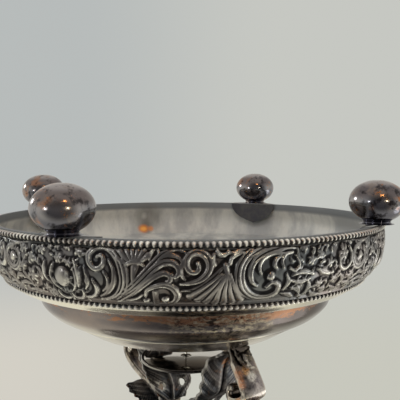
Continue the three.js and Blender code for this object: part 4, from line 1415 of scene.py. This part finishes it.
# %% [markdown]
# ### A leaf
# The leaves are thin castings with a midrib, forked veins and lobed edges that
# curl. A flat grid is bent along the leaf's line, narrowed to the lobed edge
# and folded by a wave that leans towards the tip, and then given its
# thickness. A hole is made by deleting faces, and its ragged edge is moved onto
# a circle.

# %% A lobed leaf
HOLE_R = 1.4


def leaf(line, half_widths, lobes, lean, thickness, side=1.0, holes=()):
    """A lobed leaf along a line. Side is 1 where its face looks to the line's left.
    Lean is how far a vein runs along the leaf on its way to the edge."""
    line = smooth_path(line, 90)
    run = directions(line)
    share = np.linspace(0, 1, len(line))
    bm = bmesh.new()
    bmesh.ops.create_grid(bm, x_segments=26, y_segments=110, size=1.0)
    for vert in bm.verts:
        across, along = vert.co.x, (vert.co.y + 1) / 2
        away = abs(across)
        phase = 2 * math.pi * lobes * (along + lean * away**1.3)
        wave, fine = math.cos(phase), math.cos(3 * phase)
        half = np.interp(along, np.linspace(0, 1, len(half_widths)), half_widths)
        reach = half * (1 - 0.04 * (1 + wave) * away**2)
        rib = 0.6 * math.exp(-((away / 0.08) ** 2))
        flute = -(0.13 * wave + 0.06 * fine) * min(1.0, away * 3.0) * (0.6 + 0.6 * away)
        dish = 1.1 * away**2 - 1.6 * max(0.0, away - 0.7)
        lift = side * (rib + flute + dish)
        place = [np.interp(along, share, line[:, k]) for k in (0, 1)]
        ahead = [np.interp(along, share, run[:, k]) for k in (0, 1)]
        vert.co = (place[0] - ahead[1] * lift, across * reach, place[1] + ahead[0] * lift)
    for hole in holes:
        cut = [f for f in bm.faces if (f.calc_center_median().yz - Vector(hole)).length < HOLE_R]
        bmesh.ops.delete(bm, geom=cut, context="FACES")
    for vert in bm.verts:
        for hole in holes:
            away = vert.co.yz - Vector(hole)
            if vert.is_boundary and away.length < 1.6 * HOLE_R:
                vert.co.yz = Vector(hole) + away.normalized() * HOLE_R
    bmesh.ops.recalc_face_normals(bm, faces=bm.faces)
    bm.faces.ensure_lookup_table()
    left = Vector((-run[0, 1], 0, run[0, 0]))
    if bm.faces[0].normal.dot(left) * side > 0:
        bmesh.ops.reverse_faces(bm, faces=bm.faces)
    bmesh.ops.solidify(bm, geom=bm.faces[:], thickness=thickness)
    return bm


# %% Bracket castings
FOOT_SCROLL = [(35.2, 63.4), (37.9, 65.2), (39.6, 67.3), (42.0, 70.2), (44.5, 73.3), (46.3, 76.1),
               (45.8, 78.0), (43.4, 79.6), (40.0, 80.8), (37.0, 80.4), (36.0, 78.0), (37.6, 76.4)]
STEM_SCROLL = [(12.3, 101.0), (16.0, 99.4), (22.5, 97.5), (28.4, 96.0), (36.0, 94.5), (42.8, 92.8),
               (48.2, 90.7), (51.4, 87.6), (51.8, 84.6), (49.6, 82.2), (46.4, 81.9), (44.9, 84.0),
               (46.6, 86.0)]
FOOT_TONGUE = [(28.0, 63.5), (34.0, 63.6), (38.2, 62.9), (41.0, 61.8), (42.8, 60.7)]
HUSK = [(36.8, 62.6), (39.0, 64.4), (41.0, 66.6), (42.6, 69.0)]
ROLLS = (((37.9, 76.6), 1.5, STRAP_WIDTH), ((46.9, 85.9), 1.5, STRAP_WIDTH),
         ((44.9, 80.9), 1.3, STRAP_WIDTH - 1.0))
SIDES = {"front": -90.0, "back": 90.0}


def bracket():
    """The tongue, both straps with their rolls, and the husk."""
    half = STRAP_WIDTH / 2
    thick = 1.2 * STRAP_THICKNESS / 2
    foot = half + 0.4
    bm = bmesh.new()
    swept(bm, smooth_path(FOOT_TONGUE, 24), (2.6, 3.4, 3.0, 2.0, 0.8), (1.2, 1.7, 1.3, 0.5))
    foot_widths = (half * 0.72,) + (foot,) * 5 + (half * 0.9,)
    swept(bm, smooth_path(FOOT_SCROLL, 64), foot_widths, (thick,) * 4 + (thick * 0.8,))
    stem_widths = (half * 0.9,) + (half,) * 3
    swept(bm, smooth_path(STEM_SCROLL, 90)[::-1], stem_widths, (thick * 0.8,) + (thick,) * 4)
    for centre, radius, width in ROLLS:
        rolled(bm, centre, radius, width)
    return joined(bm, leaf(HUSK, (2.0, 3.6, 3.0, 0.6), 4, -0.15, 0.8, side=-1.0))


for side, degrees in SIDES.items():
    casting = standing_at(bracket(), degrees)
    keep(casting, f"bracket_{side}", BRACKET, f"scroll_bracket_{side}")

# %% [markdown]
# ## Acanthus leaves
# One leaf stands inside each bracket, on the stem's side, and is pierced twice
# near its tip, and one lies on the back of each long strap, with its tip curled
# up.

# %% Leaves for both brackets
INNER_LEAF = [(34.4, 65.8), (30.6, 68.4), (28.5, 72.5), (27.4, 78.5), (25.6, 83.4), (20.6, 87.2),
              (15.0, 90.2), (12.6, 93.6), (12.2, 99.2)]
INNER_WIDTHS = (4.4, 8.4, 9.5, 9.8, 10.0, 10.0, 10.3, 10.9, 11.4, 8.6, 6.4)
INNER_HOLES = ((-5.4, 92.9), (5.4, 92.9))
OUTER_LEAF = [(14.6, 103.0), (20.0, 101.4), (27.0, 99.6), (33.0, 98.4), (37.0, 97.8), (39.0, 99.6),
              (39.3, 103.2), (38.6, 107.8)]
OUTER_WIDTHS = (5.0, 8.6, 10.4, 11.0, 10.6, 10.4, 10.0, 8.2, 2.0)
LOBES = 8

for side, degrees in SIDES.items():
    inner = standing_at(leaf(INNER_LEAF, INNER_WIDTHS, LOBES, 0.2, 1.0, holes=INNER_HOLES), degrees)
    keep(inner, f"leaf_inner_{side}", LEAF, f"inner_leaf_{side}")
    outer = standing_at(leaf(OUTER_LEAF, OUTER_WIDTHS, LOBES, -0.2, 1.0), degrees)
    keep(outer, f"leaf_outer_{side}", LEAF, f"outer_leaf_{side}")

# %% [markdown]
# ## Stem
# Above the brackets the stem is turned work: a collar that the long straps end
# on, a baluster with a lobed swelling, a seat under the basket and a button
# over its floor. All of them are threaded on the rod. The lobes are a wave in
# the radius that fades out above and below the swelling.

# %% Stem
ROD_HOLE_R = 2.9


def gadroon(bm, count, low, high, depth):
    """Presses upright lobes into a turned piece between two heights."""
    for vert in bm.verts:
        radius = vert.co.xy.length
        share = (vert.co.z - low) / (high - low)
        if 0 < share < 1 and radius > ROD_HOLE_R + 1:
            lobe = abs(math.cos(count * math.atan2(vert.co.y, vert.co.x) / 2)) ** 0.7 - 1
            factor = 1 + depth * lobe * math.sin(math.pi * share) / radius
            vert.co.x *= factor
            vert.co.y *= factor
    return bm


COLLAR_FACE = [(9.9, 100.1), (11.6, 101.2), (11.2, 102.0), (12.0, 103.1), (11.4, 104.2), (12.0, 105.0),
               (10.6, 106.0), (9.2, 106.9)]
outline = [(6.4, 100.0), (9.4, 100.0)] + curve(COLLAR_FACE, 30)
outline += [(ROD_HOLE_R, 107.0), (ROD_HOLE_R, 103.6), (6.4, 103.6)]
keep(turned(outline, 80), "collar", STEM, "stem_collar")

BALUSTER_FACE = [(8.6, 108.9), (6.2, 111.5), (10.8, 117.4), (12.4, 121.6), (9.6, 127.0), (5.8, 133.5),
                 (5.6, 139.0), (8.4, 143.6)]
outline = [(ROD_HOLE_R, 107.3), (8.6, 107.3)] + curve(BALUSTER_FACE, 60)
outline += [(8.6, 145.6), (ROD_HOLE_R, 145.6)]
baluster = gadroon(turned(outline, 144), 12, 112.5, 129.0, 0.9)
keep(baluster, "baluster", STEM, "stem_baluster")

# %% Seat and button
SEAT_FACE = [(9.8, 146.0), (11.0, 147.3), (16.0, 148.3), (24.0, 149.5), (26.0, 150.6), (26.0, 151.4)]
outline = [(ROD_HOLE_R, 145.9), (9.4, 145.9)] + curve(SEAT_FACE, 24) + [(ROD_HOLE_R, 151.4)]
seat = gadroon(turned(outline, 192), 24, 146.5, 151.3, 0.8)
keep(seat, "seat", STEM, "basket_seat")

BUTTON_FACE = [(11.0, 153.3), (10.9, 153.9), (8.6, 155.6), (5.2, 157.6), (2.4, 158.6), (0.0, 158.9)]
outline = [(ROD_HOLE_R, 153.0), (10.6, 153.0)] + curve(BUTTON_FACE, 22)
outline += [(0.0, 156.6), (ROD_HOLE_R, 156.6)]
keep(turned(outline, 72), "button", STEM, "basket_button")

# %% [markdown]
# ## Basket
# The basket is a spun bowl with a relief border soldered to its edge. The wall
# of the bowl is pressed into shallow upright lobes. The border is pressed from
# the same die as the base's.

# %% Bowl and border
BOWL_FACE = [(54.0, FLOOR_Z), (72.0, 153.6), (84.0, 159.0), (91.6, 166.6), (95.5, 175.2)]
BUTTON_SEAT_R = 12.0
BUTTON_SEAT_Z = FLOOR_Z + SHEET - 0.2
bowl_face = smooth_path(BOWL_FACE, 34)
bowl_inside = beside(bowl_face, SHEET)[::-1]
outline = [(ROD_HOLE_R, FLOOR_Z)] + as_pairs(bowl_face) + as_pairs(bowl_inside[:-1])
outline += [(54.0, FLOOR_Z + SHEET), (BUTTON_SEAT_R, FLOOR_Z + SHEET)]
outline += [(BUTTON_SEAT_R - 0.2, BUTTON_SEAT_Z), (ROD_HOLE_R, BUTTON_SEAT_Z)]
bowl = gadroon(turned(outline, 384), 48, 153.2, 175.5, 0.7)
keep(bowl, "bowl", BASKET, "basket_bowl")

flare_face = smooth_path(BASKET_FACE, FACE_ROWS)
flare_inside = beside(smooth_path(BASKET_FACE, 10), SHEET)[::-1]
flare = turned(as_pairs(flare_face) + as_pairs(flare_inside), RING_STEPS)
basket_relief = keep(flare, "basket_relief", RELIEF, "basket_border")
press(basket_relief, flare_face, 0.0, 0.06, 0.9)

# %% [markdown]
# ## Handle, ears and rivets
# The bail is a flat strap with a reeded back, bent into a tall arch, with a
# round eye at each end. The eyes turn on rivets in two ears soldered to the
# border, so the bail rides on the handle's body and the rest on the stand's. An
# ear could be cut from a block, but a thin grid bent to the border's flare
# follows it exactly.

# %% Handle
HANDLE_SECTION = [(0.0, 1.0), (0.16, 0.86), (0.26, 0.45), (0.36, 0.3), (0.5, 0.34), (0.6, 0.62),
                  (0.72, 0.95), (0.86, 1.0), (0.97, 0.7), (1.0, 0.1), (0.97, -0.6), (0.84, -0.95),
                  (0.4, -1.0), (0.0, -1.0)]
EYE_X = EAR_INNER_X + EAR_THICKNESS + GAP
RIVET_HOLE_R = 1.8


def turned_along_x(outline, steps, side, place_x, closed=True):
    """A turned piece laid down along X, at the height of the rivets."""
    bm = turned(outline, steps, closed)
    turn = Matrix.Rotation(side * math.pi / 2, 3, "Y")
    bmesh.ops.rotate(bm, cent=(0, 0, 0), matrix=turn, verts=bm.verts)
    bmesh.ops.translate(bm, vec=(place_x, 0, PIVOT_Z), verts=bm.verts)
    return bm


def bail():
    """The arch, with an eye round its rivet at each end."""
    reach = EYE_X + HANDLE_THICKNESS / 2
    rise = HANDLE_TOP_Z - HANDLE_THICKNESS / 2 - PIVOT_Z
    angles = np.linspace(math.radians(2.0), math.radians(178.0), 150)
    line = np.stack([reach * np.cos(angles), PIVOT_Z + rise * np.sin(angles)], -1)
    half, thick = HANDLE_WIDTH / 2, HANDLE_THICKNESS / 2
    widths = (half * 0.8,) + (half,) * 6 + (half * 0.8,)
    bm = swept(bmesh.new(), line[::-1], widths, (thick, thick), HANDLE_SECTION)
    face = HANDLE_THICKNESS - 0.45
    eye = [(RIVET_HOLE_R, 0), (EYE_R - 0.4, 0), (EYE_R, 0.4), (EYE_R, HANDLE_THICKNESS - 0.5),
           (EYE_R - 0.5, HANDLE_THICKNESS), (EYE_R - 1.2, HANDLE_THICKNESS - 0.1), (EYE_R - 1.7, face),
           (RIVET_HOLE_R, face)]
    for side in (-1, 1):
        joined(bm, turned_along_x(eye, 40, side, side * EYE_X))
    return bm


keep(bail(), "bail", HANDLE, "bail_handle", body="handle")

# %% Ears and rivets
EAR_OUTLINE = [(183.2, 0.5), (184.5, 3.0), (187.0, 5.6), (190.0, 7.3), (193.0, 8.0), (196.0, 7.6),
               (199.0, 6.3), (202.0, 5.1), (204.5, 5.3), (207.0, 6.0), (210.0, 5.2), (212.0, 3.3),
               (213.0, 0.6)]
EAR_LOW_Z = EAR_OUTLINE[0][0]
EAR_TOP_Z = EAR_OUTLINE[-1][0]
EAR_SHEET = 1.1
SHELL_Z = 191.0


def ear():
    """A shell-shaped lug that follows the border's flare and rises to the eye."""
    rows = np.array(EAR_OUTLINE)
    face = np.array(BASKET_FACE)
    bm = bmesh.new()
    bmesh.ops.create_grid(bm, x_segments=24, y_segments=60, size=1.0)
    for vert in bm.verts:
        across, up = vert.co.x, (vert.co.y + 1) / 2
        z = EAR_LOW_Z + (EAR_TOP_Z - EAR_LOW_Z) * up
        half = np.interp(z, rows[:, 0], rows[:, 1])
        flare = np.interp(min(z, 197.0), face[:, 1], face[:, 0]) + 0.6
        x = flare + (EAR_INNER_X - flare) * np.clip((z - 186.0) / 11.0, 0, 1)
        shell = max(0.0, 1 - abs(z - SHELL_Z) / 8.5)
        flute = 0.55 * shell * abs(math.cos(across * math.pi * 2.5))
        vert.co = (x + EAR_SHEET + flute, across * half, z)
    bmesh.ops.recalc_face_normals(bm, faces=bm.faces)
    bmesh.ops.solidify(bm, geom=bm.faces[:], thickness=EAR_SHEET)
    for vert in bm.verts:
        vert.co.x = min(vert.co.x, EAR_INNER_X + EAR_THICKNESS)
    return bm


def rivet():
    """A pin through the ear and the eye, with a head at each end."""
    start, end = EAR_INNER_X - GAP, EYE_X + HANDLE_THICKNESS + GAP
    outline = [(0, start - 1.3), (2.6, start - 1.2), (3.3, start - 0.8), (3.4, start), (1.7, start),
               (1.7, end), (3.4, end), (3.3, end + 0.4), (2.7, end + 0.95), (1.6, end + 1.35),
               (0, end + 1.5)]
    return turned_along_x(outline, 40, 1, 0, closed=False)


for side, degrees in (("right", 0.0), ("left", 180.0)):
    lug = standing_at(ear(), degrees)
    keep(lug, f"ear_{side}", BASKET, f"handle_ear_{side}")
    pin = standing_at(rivet(), degrees)
    keep(pin, f"rivet_{side}", FIXING, f"handle_rivet_{side}")

# %% [markdown]
# ## What stays from the CAD
# The washer and nut under the bolt, and the rod with its nut, are plain turned
# fastenings that hardly show, so the CAD nodes stay and take the brass finish.

# %% Carried-over nodes
for name in ("bolt_washer", "bolt_nut", "stem_rod", "rod_nut"):
    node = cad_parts[name]
    node.data.materials.clear()
    node.data.materials.append(FIXING)
    print(name, "takes the finish", FIXING.name)
